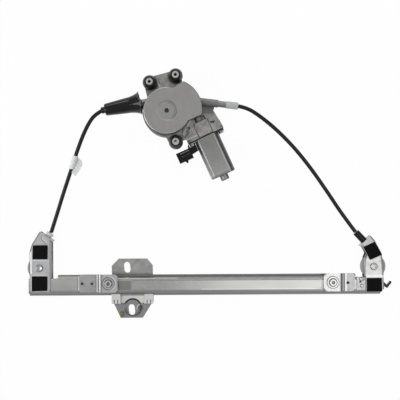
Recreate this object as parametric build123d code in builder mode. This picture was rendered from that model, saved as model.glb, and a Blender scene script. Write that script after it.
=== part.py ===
from build123d import *
from math import cos, hypot, radians, sin, tan
import os

# Cable window regulator: a flat guide rail with a pulley at each end, a sliding
# carriage for the glass, and a worm-gear motor whose drum pulls the drive wire.
# Millimetres. X runs along the rail, Y from the rail to the motor, Z out of the
# door panel. The origin is the axis of the left rail nut on its plate's front face.

# Guide rail: a pressed hat section with its web toward +Z
rail_left = -120.8
rail_right = 411.0
rail_axis_y = -3.5
rail_sheet = 1.2
rail_depth = 10.0
web_front = -5.0
web_width = 22.0
wall_lean = 2.6
rail_width = 31.4
bend_radius = 1.6
bead_left = 34.0
bead_right = 321.0
bead_width = 14.0
bead_height = 0.7
lip_left_end = -76.8
lip_right_end = 371.7
lip_slant = 3.0

# Rail mounting plates and their weld nuts
nut_pitch = 337.0
plate_sheet = 2.0
plate_width = 27.0
plate_tip = 13.8
joggle_near = 11.5
joggle_far = 18.5
left_plate_reach = 45.5
right_plate_reach = 33.5
plate_chamfer = 3.5
dimple_radius = 1.4
nut_flange_radius = 9.4
nut_flange_height = 1.2
nut_collar_radius = 5.7
nut_collar_height = 4.0
nut_barrel_radius = 4.4
mount_thread_radius = 2.5

# Drive wire, pulleys and their brackets
wire_radius = 0.75
wire_gap = 0.3
wire_z = -12.0
pulley_y = 23.3
left_pulley_x = -104.2
right_pulley_x = 399.2
pulley_path_radius = 17.0
pulley_rim_radius = 18.5
pulley_width = 8.0
pulley_hub_radius = 6.5
pin_radius = 3.0
pin_head_radius = 5.4
pin_head_height = 1.3
pin_foot_height = 1.0
bracket_sheet = 1.5
bracket_depth = 12.5
rim_depth = 3.0
rim_spread = 3.0
flange_edge = 10.3
left_cable_heading = 55.0
right_cable_heading = 133.5
left_flange_reach = 44.2
right_flange_reach = 35.4
running_gap = 0.3
pad_thickness = 2.0
corner_radius = 2.0
ferrule_neck_radius = 3.5
tab_left = 373.4
tab_width = 19.0
tab_rivets = ((379.8, 4.4), (380.9, -5.6))
tab_rivet_radius = 1.8
tab_rivet_head = 2.8
tab_hole = (376.6, 0.6)

# Carriage plate and plastic slider
carriage_x = 35.0
carriage_sheet = 2.0
carriage_gap = 2.7
slot_width = 9.2
slot_length = 16.3
slot_tilt = 95.5
upper_slot = (26.9, 22.9)
lower_slot = (33.9, -41.2)
dome_centre = (35.1, -38.0)
dome_radius = 13.5
dome_height = 2.4
dome_clearance = 0.8
hook_length = 13.5
hook_spacing = 49.7
hook_top = -11.7
slider_low = -31.0
slider_length = 64.0
shoe_length = 46.0
shoe_top = -7.8
nipple_radius = 1.7
nipple_length = 6.0
holder_wall = 3.0
holder_half = 15.0
holder_height = 5.2

# Drum, gear and motor
drum_x = 90.1
drum_y = 256.4
drum_z = 13.0
drum_path_radius = 20.0
drum_height = 17.0
drum_rim_radius = 22.0
shaft_radius = 3.4
mesh_angle = 24.2
wheel_teeth = 66
gear_module = 1.0
worm_pitch_radius = 5.0
worm_z = -7.0
wheel_width = 10.0
tooth_share = 0.34
worm_turns = 7
cover_radius = 34.5
lobe_radius = 45.0
lobe_offset = (7.3, 1.6)
cover_top = 27.0
cover_sheet = 2.0
housing_back = -18.5
back_cover_sheet = 1.5
bowl_radius = 37.0
bowl_wall = 2.0
deck_top = 3.0
left_wire_heading = 190.8
right_wire_heading = -7.0
spout_radius = 5.75
left_spout_radius = 4.6
adjuster_radius = 4.75
adjuster_depth = 14.0
spring_cup = 2.5
hub_radius = 9.0
drum_flange = 1.5
landing_half = 1.9
pocket_depth = 4.0
pocket_place = 14.5
drum_nipple_radius = 2.0
wheel_floor = 3.0
pocket_radius = 27.0
wheel_boss_radius = 7.0
hub_plate = 2.0
finger_place = 17.0
finger_length = 12.0
finger_width = 5.0
shaft_end = 1.0
worm_collar = 1.5
shaft_tail = 19.0
rotor_shaft_radius = 2.0
core_start = 75.0
core_length = 27.0
core_radius = 10.3
coil_overhang = 5.0
commutator_radius = 4.6
commutator_length = 9.0
rear_boss = 8.0
rear_boss_radius = 6.5
can_radius = 19.2
can_flat = 13.0
can_wall = 1.6
can_mouth = 57.0
can_length = 63.2
flange_half_width = 29.3
boss_positions = ((64.9, 298.8), (103.1, 308.7), (103.0, 210.5))
can_corner = 4.0
can_edge = 2.0
brush_width = 4.0
brush_length = 6.0
brush_spring_radius = 1.7
magnet_start = 71.0
magnet_length = 36.0
magnet_half = 9.6
magnet_gap = 1.0
bush_radius = 4.8
tail_bush_length = 5.8
front_bush_start = 38.0
front_bush_length = 8.0
ear_half = 28.4
ear_height = 19.0
screw_place = 23.8
screw_radius = 2.4
screw_depth = 9.0
screw_head_radius = 4.2
screw_head_height = 3.0
holder_plate = 1.6
holder_ring = 4.0
neck_low = -13.0
neck_height = 12.0
neck_reach = 32.0
neck_root = 12.5
socket_start = 62.0
socket_width = 16.0
socket_length = 20.6
socket_low = -16.0
socket_height = 14.0
socket_wall = 1.8
socket_depth = 14.0
lobe_low = -9.5
lobe_sweep = 76.8
lobe_low_corner = -26.0
lobe_high_corner = 75.0
lobe_corner = 4.0
cover_skirt = 1.2
cover_skirt_depth = 4.0
chamber_wall = 2.2
emboss_radius = 14.6
emboss_depth = 0.7
tunnel_tail = 21.0
tunnel_radius = 9.0
neck_start = 33.0
neck_width = 24.0
neck_depth = 21.5
neck_rise = 0.75
web_thickness = 7.0
casting_flange = 6.0
casting_flange_height = 20.0
ear_low = 4.0
ear_thickness = 7.0
ear_boss_radius = 9.0
upper_ear_root = 24.0
lower_ear_root = 20.0
spout_root = 24.0
wire_bore = 1.9
grommet_radius = 10.5
grommet_neck = 7.0
grommet_lip = 3.0
grommet_top = 29.5
sleeve_radius = 5.0
web_outline = [
    (0.0, 4.0),
    (2.0, 14.0),
    (12.0, 22.0),
    (21.6, 29.4),
    (26.5, 25.6),
    (38.2, 27.2),
    (44.8, 28.4),
    (51.0, 28.8),
    (51.0, 6.0),
]
casting_recesses = (
    ((25.8, 3.4), (26.0, 9.6), (33.4, 10.8), (33.8, 4.6)),
    ((39.0, 14.2), (41.2, 14.0), (43.6, 18.2), (40.4, 21.6)),
    ((35.8, -24.6), (32.0, -18.4), (34.7, -16.2), (37.7, -18.4), (39.6, -24.6)),
)
recess_depth = 3.5
ear_slit = ((75.4, 306.2), (79.6, 297.6))
ear_slit_width = 1.4
ear_slit_depth = 2.0
lower_web_outline = [
    (20.0, -6.0),
    (52.0, -6.0),
    (52.0, -28.0),
    (49.0, -29.0),
    (48.0, -35.0),
    (30.0, -34.0),
]

# Conduits: the outer casings of the drive wire between motor and rail
conduit_radius = 3.0
conduit_bore = 1.4
boot_mouth_radius = 17.5
boot_waist = 48.8
boot_waist_radius = 12.6
boot_neck_radius = 9.0
boot_collar_radius = 4.8
boot_wall = 1.5
spring_seat = 80.0
spring_radius = 5.2
spring_wire_radius = 0.6
spring_turns = 5
clip_offset = 8.0
clip_length = 21.0
clip_thickness = 2.0
clip_flag = [
    (-47.3, 188.8),
    (-45.3, 189.6),
    (-38.9, 185.3),
    (-37.5, 179.4),
    (-42.3, 169.8),
    (-48.3, 161.7),
    (-53.1, 166.2),
    (-55.1, 167.2),
]

# Values worked out from the sizes above
wheel_pitch_radius = gear_module * wheel_teeth / 2
centre_distance = wheel_pitch_radius + worm_pitch_radius
tooth_pitch = 3.14159265 * gear_module
web_half = web_width / 2
rail_half = rail_width / 2
rail_back = web_front - rail_depth
web_edge_y = rail_axis_y + web_half
bracket_front = web_front + bracket_sheet
bracket_inside_back = web_front - bracket_depth
bracket_back = bracket_inside_back - bracket_sheet
rail_wire_y = pulley_y - pulley_path_radius
carriage_front = rail_back - carriage_gap
carriage_back = carriage_front - carriage_sheet
foot_x = drum_x + centre_distance * cos(radians(mesh_angle))
foot_y = drum_y + centre_distance * sin(radians(mesh_angle))
cover_seat = cover_top - cover_sheet

os.makedirs("parts", exist_ok=True)


def heading(angle):
    """Unit vector in the XY plane."""
    return Vector(cos(radians(angle)), sin(radians(angle)), 0)


def across_motor(reach, side=0.0, height=worm_z):
    """Plane across the worm axis: x away from the drum, y up, z toward the motor."""
    origin = Vector(foot_x, foot_y, height)
    origin += heading(mesh_angle) * side + heading(mesh_angle - 90) * reach
    return Plane(origin=origin, x_dir=heading(mesh_angle), z_dir=heading(mesh_angle - 90))


def motor_top(height):
    """Level plane at the mesh point: x toward the motor, y away from it."""
    return Plane(origin=(foot_x, foot_y, height), x_dir=heading(mesh_angle - 90), z_dir=(0, 0, 1))


def across_cable(start, angle, reach):
    """Plane across a cable that leaves start with this heading: y is up."""
    origin = Vector(*start) + heading(angle) * reach
    return Plane(origin=origin, x_dir=heading(angle + 90), z_dir=heading(angle))


def along_cable(start, angle):
    """Plane that holds a cable's axis as x, with its radius as y, for turned parts."""
    return Plane(origin=Vector(*start), x_dir=heading(angle), z_dir=(0, 0, 1))


def cable_axis(start, angle):
    """Axis of a cable that leaves start with this heading."""
    return Axis(Vector(*start), heading(angle))


def tangent_point(centre_x, centre_y, radius, angle, height):
    """Point on a circle's rim at this angle."""
    rim = heading(angle) * radius
    return (centre_x + rim.X, centre_y + rim.Y, height)


def corner_radii(points):
    """Arc radius at each inner point of a route: 0.45 of the shorter run."""
    radii = []
    for before, here, after in zip(points, points[1:], points[2:]):
        run_in = Vector(*here) - Vector(*before)
        run_out = Vector(*after) - Vector(*here)
        half_turn = radians(run_in.get_angle(run_out) / 2)
        radii.append(0.45 * min(run_in.length, run_out.length) / tan(half_turn))
    return radii


# Where the wire leaves the drum and both pulleys
left_drum_point = tangent_point(drum_x, drum_y, drum_path_radius, left_wire_heading - 90, drum_z)
right_drum_point = tangent_point(drum_x, drum_y, drum_path_radius, right_wire_heading + 90, drum_z)
left_rail_point = tangent_point(
    left_pulley_x, pulley_y, pulley_path_radius, left_cable_heading + 90, wire_z
)
right_rail_point = tangent_point(
    right_pulley_x, pulley_y, pulley_path_radius, right_cable_heading - 90, wire_z
)

# Lengths along the four cable axes
left_spout_end = 56.0
left_ferrule_start = 60.0
left_boot_mouth = 36.7
left_boot_neck = 89.6
left_boot_end = 92.6
left_conduit_start = 94.0
right_spout_end = 73.8
right_tube_end = 85.6
right_ferrule_end = 103.6
right_conduit_start = 103.9
left_rail_ferrule_end = left_flange_reach + 8.3
right_rail_ferrule_end = right_flange_reach + 19.4
conduit_seat = 1.0

left_conduit_first = across_cable(left_drum_point, left_wire_heading, left_conduit_start).origin
left_conduit_last = across_cable(
    left_rail_point, left_cable_heading, left_rail_ferrule_end + conduit_seat
).origin
right_conduit_first = across_cable(right_drum_point, right_wire_heading, right_conduit_start).origin
right_conduit_last = across_cable(
    right_rail_point, right_cable_heading, right_rail_ferrule_end + conduit_seat
).origin

left_route = [
    tuple(left_conduit_first),
    (-17.5, 251.7, 12.8),
    (-25.5, 241.0, 12.0),
    (-34.5, 224.0, 10.2),
    (-44.5, 199.5, 6.2),
    (-55.5, 168.5, 0.4),
    (-68.5, 133.5, -6.0),
    (-78.5, 103.5, -10.6),
    tuple(left_conduit_last),
]
right_route = [
    tuple(right_conduit_first),
    (208.0, 261.3, 12.9),
    (226.5, 250.0, 12.0),
    (251.0, 230.5, 9.2),
    (279.0, 203.0, 4.2),
    (305.0, 171.5, -1.4),
    (331.0, 135.0, -7.2),
    (353.6, 101.2, -11.0),
    tuple(right_conduit_last),
]

# Guide rail
# A hat section with a long shallow bead. Its upper wall and lip stop short of both
# pulleys, so that the wire can leave the channel.
lip_level = rail_sheet - rail_depth
wall_slope = wall_lean / (rail_depth - rail_sheet)
wall_sheet = rail_sheet * hypot(1, wall_slope)
bead_middle = (bead_left + bead_right) / 2
bead_length = bead_right - bead_left
with BuildPart() as guide_rail:
    section = Plane(origin=(rail_left, rail_axis_y, web_front), x_dir=(0, 1, 0), z_dir=(1, 0, 0))
    with BuildSketch(section):
        with BuildLine():
            FilletPolyline(
                (0, 0),
                (web_half, 0),
                (web_half + wall_lean, lip_level),
                (rail_half, lip_level),
                (rail_half, -rail_depth),
                (web_half + wall_slope * rail_depth - wall_sheet, -rail_depth),
                (web_half + wall_slope * rail_sheet - wall_sheet, -rail_sheet),
                (0, -rail_sheet),
                radius=[bend_radius, 0.3, 0.1, 0.1, bend_radius, 0.3],
            )
            Line((0, -rail_sheet), (0, 0))
        make_face()
        mirror(about=Plane.YZ)
    extrude(amount=rail_right - rail_left)
    with BuildSketch(Plane.XY.offset(web_front + 1)):
        for end_x, lip_x, slant in (
            (rail_left - 1, lip_left_end, -lip_slant),
            (rail_right + 1, lip_right_end, lip_slant),
        ):
            with BuildLine():
                Polyline(
                    (end_x, web_edge_y),
                    (lip_x + slant, web_edge_y),
                    (lip_x, rail_axis_y + rail_half + 1),
                    (end_x, rail_axis_y + rail_half + 1),
                    close=True,
                )
            make_face()
    extrude(amount=-(rail_depth + 2), mode=Mode.SUBTRACT)
    with BuildSketch(Plane.XY.offset(web_front - rail_sheet)):
        for end_x, lip_x in ((rail_left, lip_left_end), (rail_right, lip_right_end)):
            with Locations(((end_x + lip_x) / 2, web_edge_y)):
                Rectangle(abs(end_x - lip_x), 2 * (wall_sheet + running_gap))
    extrude(amount=-rail_depth, mode=Mode.SUBTRACT)
    with BuildSketch(Plane.XY.offset(web_front)):
        with Locations((bead_middle, rail_axis_y)):
            SlotOverall(bead_length, bead_width)
    extrude(amount=bead_height)
    with BuildSketch(Plane.XY.offset(web_front - rail_sheet)):
        with Locations((bead_middle, rail_axis_y)):
            SlotOverall(bead_length - 2 * rail_sheet, bead_width - 2 * rail_sheet)
    extrude(amount=bead_height, mode=Mode.SUBTRACT)
    with BuildSketch(Plane.XY.offset(web_front)):
        with Locations((0, 0), (nut_pitch, 0)):
            Circle(nut_collar_radius)
    extrude(amount=-2 * rail_sheet, mode=Mode.SUBTRACT)
guide_rail.part.label = "guide_rail"
export_step(guide_rail.part, "parts/guide_rail.step")

# Mounting plates and weld nuts
# Each plate is spot-welded to the web, steps up in a joggle and carries a weld nut.
for side, nut_x, toward, reach, dimples in (
    ("left", 0.0, -1, left_plate_reach, (25.4, 40.6)),
    ("right", nut_pitch, 1, right_plate_reach, (24.5,)),
):
    weld_top = web_front + plate_sheet
    with BuildPart() as mounting_plate:
        with BuildSketch(Plane(origin=(nut_x, 0, 0), x_dir=(1, 0, 0), z_dir=(0, -1, 0))):
            with BuildLine():
                Polyline(
                    (-toward * plate_tip, 0),
                    (toward * joggle_near, 0),
                    (toward * joggle_far, weld_top),
                    (toward * reach, weld_top),
                    (toward * reach, web_front),
                    (toward * (joggle_far - plate_sheet / 2), web_front),
                    (toward * (joggle_near - plate_sheet / 2), -plate_sheet),
                    (-toward * plate_tip, -plate_sheet),
                    close=True,
                )
            make_face()
        extrude(amount=plate_width / 2, both=True)
        corners = mounting_plate.edges().filter_by(Axis.Z).group_by(Axis.X)
        chamfer(corners[0] + corners[-1], length=plate_chamfer)
        with BuildSketch(Plane.XY):
            with Locations((nut_x, 0)):
                Circle(nut_barrel_radius)
        extrude(amount=-2 * plate_sheet, mode=Mode.SUBTRACT)
        with BuildSketch(Plane.XY.offset(weld_top)):
            with Locations(*[(nut_x + toward * place, -1.0) for place in dimples]):
                Circle(dimple_radius)
        extrude(amount=-plate_sheet / 2, mode=Mode.SUBTRACT)
    mounting_plate.part.label = side + "_mounting_plate"
    export_step(mounting_plate.part, "parts/" + side + "_mounting_plate.step")

    with BuildPart() as mount_nut:
        with BuildSketch(Plane.XY.offset(-plate_sheet)):
            with Locations((nut_x, 0)):
                Circle(nut_barrel_radius)
        extrude(amount=plate_sheet)
        with BuildSketch(Plane.XY):
            with Locations((nut_x, 0)):
                Circle(nut_flange_radius)
        extrude(amount=nut_flange_height)
        with BuildSketch(Plane.XY.offset(nut_flange_height)):
            with Locations((nut_x, 0)):
                Circle(nut_collar_radius)
        extrude(amount=nut_collar_height - nut_flange_height)
        chamfer(mount_nut.faces().sort_by(Axis.Z)[-1].edges(), length=0.8)
        with BuildSketch(Plane.XY.offset(nut_collar_height)):
            with Locations((nut_x, 0)):
                Circle(mount_thread_radius)
        extrude(amount=-(nut_collar_height + plate_sheet), mode=Mode.SUBTRACT)
    mount_nut.part.label = side + "_mount_nut"
    export_step(mount_nut.part, "parts/" + side + "_mount_nut.step")


def outline_face(outline, spread=0.0):
    """Sheet outline with rounded corners, grown by spread."""
    with BuildSketch() as shape:
        with BuildLine():
            Polyline(*outline, close=True)
        make_face()
        fillet(shape.vertices(), radius=corner_radius)
        if spread:
            offset(amount=spread)
    return shape.sketch


def pressed_plate(outline):
    """Bracket front: a flat whose rim spreads outward and back all round."""
    with BuildPart() as block:
        with BuildSketch(Plane.XY.offset(bracket_front)):
            add(outline_face(outline))
        with BuildSketch(Plane.XY.offset(bracket_front - rim_depth)):
            add(outline_face(outline, rim_spread))
        loft()
    with BuildPart() as pan:
        add(block.part)
        add(block.part.moved(Location((0, 0, -bracket_sheet))), mode=Mode.SUBTRACT)
    return pan.part


# Pulley brackets
# One folded sheet each: a pressed front, a back plate, outer walls that join them
# above and below the pulley, and a flange across the cable for its ferrule.
left_outline = [
    (-88.8, -12.0),
    (-88.8, 68.2),
    (-101.0, 77.2),
    (-113.2, 57.5),
    (-116.2, 48.0),
    (-116.2, -12.0),
]
right_outline = [
    (412.6, -12.0),
    (411.6, 10.3),
    (410.9, 25.2),
    (409.0, 41.5),
    (399.4, 60.2),
    (392.0, 68.6),
    (380.6, 57.4),
    (385.4, 53.9),
    (391.1, 43.4),
    (388.0, 36.0),
    (386.8, 25.2),
    (387.6, 11.8),
    (388.1, -12.0),
]
wall_room = pulley_rim_radius - 3.0
wall_ranges = ((pulley_y + wall_room, pulley_y + wall_room + 18.0), (-11.8, pulley_y - wall_room))
flange_height = bracket_depth + 2 * bracket_sheet
flange_middle = bracket_front - flange_height / 2 - wire_z
for side, outline, pulley_x, outward, start, angle, reach in (
    (
        "left",
        left_outline,
        left_pulley_x,
        -1,
        left_rail_point,
        left_cable_heading,
        left_flange_reach,
    ),
    (
        "right",
        right_outline,
        right_pulley_x,
        1,
        right_rail_point,
        right_cable_heading,
        right_flange_reach,
    ),
):
    front = pressed_plate(outline)
    full_face = outline_face(outline, rim_spread)
    inner_face = outline_face(outline, rim_spread - bracket_sheet)
    with BuildPart() as bracket:
        add(front)
        with BuildSketch(Plane.XY.offset(web_front)):
            with Locations(((rail_left + rail_right) / 2, rail_axis_y)):
                Rectangle(rail_right - rail_left + 20, web_width + 2)
        extrude(amount=-rim_depth, mode=Mode.SUBTRACT)
        with BuildSketch(Plane.XY.offset(bracket_back)):
            add(full_face)
        extrude(amount=bracket_sheet)
        for low, high in wall_ranges:
            with BuildSketch(Plane.XY.offset(bracket_inside_back)):
                add(full_face)
                add(inner_face, mode=Mode.SUBTRACT)
                with Locations((pulley_x + outward * 20, (low + high) / 2)):
                    Rectangle(30, high - low, mode=Mode.INTERSECT)
            extrude(amount=bracket_depth - rim_depth)
        flange_plane = across_cable(start, angle, reach)
        with BuildSketch(flange_plane.offset(bracket_sheet)):
            Rectangle(8 * flange_edge, 8 * flange_edge)
        extrude(amount=4 * flange_edge, mode=Mode.SUBTRACT)
        with BuildSketch(flange_plane):
            with Locations((0, flange_middle)):
                Rectangle(2 * flange_edge, flange_height)
        extrude(amount=bracket_sheet)
        with BuildSketch(flange_plane):
            Circle(ferrule_neck_radius)
        extrude(amount=bracket_sheet, mode=Mode.SUBTRACT)
        with BuildSketch(Plane.XY.offset(bracket_front)):
            with Locations((pulley_x, pulley_y)):
                Circle(pin_radius)
        extrude(amount=-flange_height, mode=Mode.SUBTRACT)
        if side == "right":
            with BuildSketch(Plane.XY.offset(web_front)):
                with Locations((tab_left, rail_axis_y + 1)):
                    Rectangle(right_pulley_x - tab_left, tab_width, align=(Align.MIN, Align.CENTER))
            extrude(amount=bracket_sheet)
            with BuildSketch(Plane.XY.offset(bracket_front)):
                with Locations(*tab_rivets):
                    Circle(tab_rivet_radius)
                with Locations(tab_hole):
                    Circle(dimple_radius)
            extrude(amount=-bracket_sheet, mode=Mode.SUBTRACT)
    bracket.part.label = side + "_pulley_bracket"
    export_step(bracket.part, "parts/" + side + "_pulley_bracket.step")

# Rivets through the right bracket's tab and the web
with BuildPart() as bracket_rivets:
    with BuildSketch(Plane.XY.offset(web_front)):
        with Locations(*tab_rivets):
            Circle(tab_rivet_radius)
    extrude(amount=bracket_sheet)
    with BuildSketch(Plane.XY.offset(bracket_front)):
        with Locations(*tab_rivets):
            Circle(tab_rivet_head)
    extrude(amount=pin_head_height, taper=30)
bracket_rivets.part.label = "bracket_rivets"
export_step(bracket_rivets.part, "parts/bracket_rivets.step")

# Pulleys and their riveted pins
# A grooved rim on a dished web, with a long hub between the bracket's plates.
groove_radius = pulley_path_radius - wire_radius - wire_gap
hub_top = web_front - running_gap
hub_bottom = bracket_inside_back + running_gap
for side, pulley_x in (("left", left_pulley_x), ("right", right_pulley_x)):
    with BuildPart() as pulley:
        half_section = Plane(origin=(pulley_x, pulley_y, wire_z), x_dir=(1, 0, 0), z_dir=(0, -1, 0))
        with BuildSketch(half_section):
            with BuildLine():
                Polyline(
                    (pin_radius + running_gap, hub_bottom - wire_z),
                    (pulley_hub_radius, hub_bottom - wire_z),
                    (pulley_hub_radius, -1.5),
                    (groove_radius - 3.0, -1.5),
                    (groove_radius - 3.0, -pulley_width / 2),
                    (pulley_rim_radius, -pulley_width / 2),
                    (pulley_rim_radius, -pulley_width / 2 + 0.8),
                    (groove_radius, -wire_radius),
                    (groove_radius, wire_radius),
                    (pulley_rim_radius, pulley_width / 2 - 0.8),
                    (pulley_rim_radius, pulley_width / 2),
                    (groove_radius - 3.0, pulley_width / 2),
                    (groove_radius - 3.0, 1.5),
                    (pulley_hub_radius, 1.5),
                    (pulley_hub_radius, hub_top - wire_z),
                    (pin_radius + running_gap, hub_top - wire_z),
                    close=True,
                )
            make_face()
        revolve(axis=Axis((pulley_x, pulley_y, 0), (0, 0, 1)))
        with BuildSketch(Plane.XY.offset(wire_z)):
            with Locations((pulley_x, pulley_y)):
                with PolarLocations(9.8, 6):
                    Circle(1.9)
        extrude(amount=3, both=True, mode=Mode.SUBTRACT)
    pulley.part.label = side + "_pulley"
    export_step(pulley.part, "parts/" + side + "_pulley.step")

    with BuildPart() as pulley_pin:
        with BuildSketch(Plane.XY.offset(bracket_back)):
            with Locations((pulley_x, pulley_y)):
                Circle(pin_radius)
        extrude(amount=flange_height)
        with BuildSketch(Plane.XY.offset(bracket_front)):
            with Locations((pulley_x, pulley_y)):
                Circle(pin_head_radius)
        extrude(amount=pin_head_height)
        fillet(pulley_pin.faces().sort_by(Axis.Z)[-1].edges(), radius=0.9)
        with BuildSketch(Plane.XY.offset(bracket_back)):
            with Locations((pulley_x, pulley_y)):
                Circle(pin_head_radius - 0.6)
        extrude(amount=-pin_foot_height)
    pulley_pin.part.label = side + "_pulley_pin"
    export_step(pulley_pin.part, "parts/" + side + "_pulley_pin.step")

# Foam pads stuck on the bracket fronts against rattle
for side, pad_outlines in (
    (
        "left",
        (
            [(-114.3, 36.6), (-91.6, 36.6), (-91.2, 58.0), (-113.8, 58.0)],
            [(-115.6, -11.4), (-92.0, -10.8), (-92.0, 11.2), (-115.4, 11.4)],
        ),
    ),
    (
        "right",
        (
            [(393.5, 33.0), (412.0, 41.0), (400.7, 60.9), (383.4, 52.6)],
            [(388.3, -14.6), (411.6, -14.6), (411.2, 6.2), (388.2, 6.2)],
        ),
    ),
):
    with BuildPart() as foam_pads:
        with BuildSketch(Plane.XY.offset(bracket_front)):
            for pad_outline in pad_outlines:
                with BuildLine():
                    Polyline(*pad_outline, close=True)
                make_face()
        extrude(amount=pad_thickness)
    foam_pads.part.label = side + "_foam_pads"
    export_step(foam_pads.part, "parts/" + side + "_foam_pads.step")

# Hooked tail that clips round the right bracket's lower outer wall
with BuildPart() as end_clip:
    with BuildSketch(Plane.XY.offset(bracket_inside_back + 3)):
        with BuildLine():
            Polyline(
                (415.4, -0.4),
                (418.2, -3.4),
                (420.1, -5.4),
                (425.2, 1.0),
                (427.4, -0.8),
                (420.4, -10.0),
                (417.4, -8.2),
                (415.6, -5.6),
                close=True,
            )
        make_face()
    extrude(amount=6)
end_clip.part.label = "end_clip"
export_step(end_clip.part, "parts/end_clip.step")

# Carriage
# The steel plate that carries the glass: slotted above and below the rail, with a
# pressed dome round the lower slot.
carriage_outline = [
    (3.3, 25.3),
    (14.0, 36.1),
    (57.1, 36.1),
    (65.7, 25.9),
    (66.6, -28.0),
    (50.3, -54.0),
    (16.6, -54.0),
    (4.4, -28.0),
]
with BuildPart() as carriage_plate:
    with BuildSketch(Plane.XY.offset(carriage_back)):
        with BuildLine():
            Polyline(*carriage_outline, close=True)
        make_face()
    extrude(amount=carriage_sheet)
    with BuildSketch(Plane.XY.offset(carriage_front)):
        with Locations(dome_centre):
            Circle(dome_radius)
    extrude(amount=dome_height, taper=35)
    with BuildSketch(Plane.XY.offset(carriage_back)):
        with Locations(dome_centre):
            Circle(dome_radius - carriage_sheet / 2)
    extrude(amount=dome_height, taper=35, mode=Mode.SUBTRACT)
    with BuildSketch(Plane.XY.offset(carriage_back)):
        with Locations(upper_slot, lower_slot):
            SlotOverall(slot_length, slot_width, rotation=slot_tilt)
    extrude(amount=carriage_sheet + dome_height, mode=Mode.SUBTRACT)
carriage_plate.part.label = "carriage_plate"
export_step(carriage_plate.part, "parts/carriage_plate.step")

# Slider
# One plastic moulding: a pad between carriage and rail lips, two hooks round the
# lower lip, and a shoe inside the channel that holds the wire's nipples.
pad_top = rail_back - running_gap
lip_front = rail_back + rail_sheet
lip_edge_y = rail_axis_y - rail_half
wall_foot_y = rail_axis_y - web_half - wall_lean
channel_y = rail_axis_y - web_half - wall_lean + wall_sheet
wire_slot = wire_radius + wire_gap + 0.1
holder_edge_y = rail_wire_y + nipple_radius
with BuildPart() as slider:
    with BuildSketch(Plane.XY.offset(carriage_front)):
        with Locations((carriage_x, (slider_low + holder_edge_y) / 2)):
            RectangleRounded(slider_length, holder_edge_y - slider_low, 2.0)
        with Locations(dome_centre):
            Circle(dome_radius + dome_clearance, mode=Mode.SUBTRACT)
    extrude(amount=pad_top - carriage_front)
    for place in (-0.5, 0.5):
        hook_middle = carriage_x + place * hook_spacing
        with BuildSketch(Plane.YZ.offset(hook_middle)):
            with BuildLine():
                Polyline(
                    (slider_low - 1.0, carriage_front),
                    (slider_low - 1.0, hook_top - 1.2),
                    (slider_low + 0.2, hook_top),
                    (wall_foot_y + 0.2, hook_top),
                    (wall_foot_y - 2 * running_gap, lip_front + running_gap),
                    (lip_edge_y - running_gap, lip_front + running_gap),
                    (lip_edge_y - running_gap, carriage_front),
                    close=True,
                )
            make_face()
        extrude(amount=hook_length / 2, both=True)
        with BuildSketch(Plane.XY.offset(hook_top)):
            with Locations((hook_middle - 2.6, slider_low + 1.5), (hook_middle + 2.6, slider_low + 1.5)):
                Rectangle(1.6, 7.0)
        extrude(amount=-2.0, mode=Mode.SUBTRACT)
    with BuildSketch(Plane.YZ.offset(carriage_x)):
        with BuildLine():
            Polyline(
                (channel_y + 2 * running_gap, pad_top),
                (channel_y + 2 * running_gap, lip_front),
                (channel_y + wall_lean, shoe_top),
                (rail_wire_y - nipple_radius - 0.2, shoe_top),
                (rail_wire_y - nipple_radius - 0.2, wire_z - nipple_radius - 0.05),
                (holder_edge_y, wire_z - nipple_radius - 0.05),
                (holder_edge_y, pad_top),
                close=True,
            )
        make_face()
    extrude(amount=shoe_length / 2, both=True)
    for place in (-1, 1):
        with BuildSketch(Plane.YZ.offset(carriage_x + place * (holder_half - holder_wall / 2))):
            with Locations((rail_wire_y - nipple_radius - 0.2, pad_top)):
                Rectangle(nipple_radius + 1.2, holder_height, align=(Align.MIN, Align.MIN))
        extrude(amount=holder_wall / 2, both=True)
    with BuildSketch(Plane.YZ.offset(carriage_x)):
        with Locations((rail_wire_y, wire_z)):
            Circle(wire_slot)
        with Locations((rail_wire_y + 5, wire_z)):
            Rectangle(10, 2 * wire_slot)
    extrude(amount=shoe_length, both=True, mode=Mode.SUBTRACT)
slider.part.label = "slider"
export_step(slider.part, "parts/slider.step")

# Nipples crimped on the wire ends, held in the slider's shoe
with BuildPart() as wire_nipples:
    for start_x in (
        carriage_x - holder_half + holder_wall,
        carriage_x + holder_half - holder_wall - nipple_length,
    ):
        with BuildSketch(Plane.YZ.offset(start_x)):
            with Locations((rail_wire_y, wire_z)):
                Circle(nipple_radius)
                Circle(wire_radius + wire_gap, mode=Mode.SUBTRACT)
        extrude(amount=nipple_length)
wire_nipples.part.label = "wire_nipples"
export_step(wire_nipples.part, "parts/wire_nipples.step")


def turned(start, angle, profile):
    """Part turned about a cable's axis from (distance, radius) points."""
    with BuildPart() as body:
        with BuildSketch(along_cable(start, angle)):
            with BuildLine():
                Polyline(*profile, close=True)
            make_face()
        revolve(axis=cable_axis(start, angle))
    return body.part


# Rail-side ferrules: their necks sit in the bracket flanges
neck = ferrule_neck_radius - 0.1
left_seat = left_flange_reach + bracket_sheet
right_seat = right_flange_reach + bracket_sheet
left_rail_ferrule = turned(
    left_rail_point,
    left_cable_heading,
    [
        (left_flange_reach - 4.0, conduit_bore),
        (left_flange_reach - 4.0, neck),
        (left_seat, neck),
        (left_seat, 4.8),
        (left_seat + 3.2, 4.6),
        (left_seat + 3.2, 6.3),
        (left_seat + 5.6, 6.3),
        (left_seat + 5.6, 4.4),
        (left_rail_ferrule_end, 4.2),
        (left_rail_ferrule_end, conduit_bore),
    ],
)
left_rail_ferrule.label = "left_rail_ferrule"
export_step(left_rail_ferrule, "parts/left_rail_ferrule.step")

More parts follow.
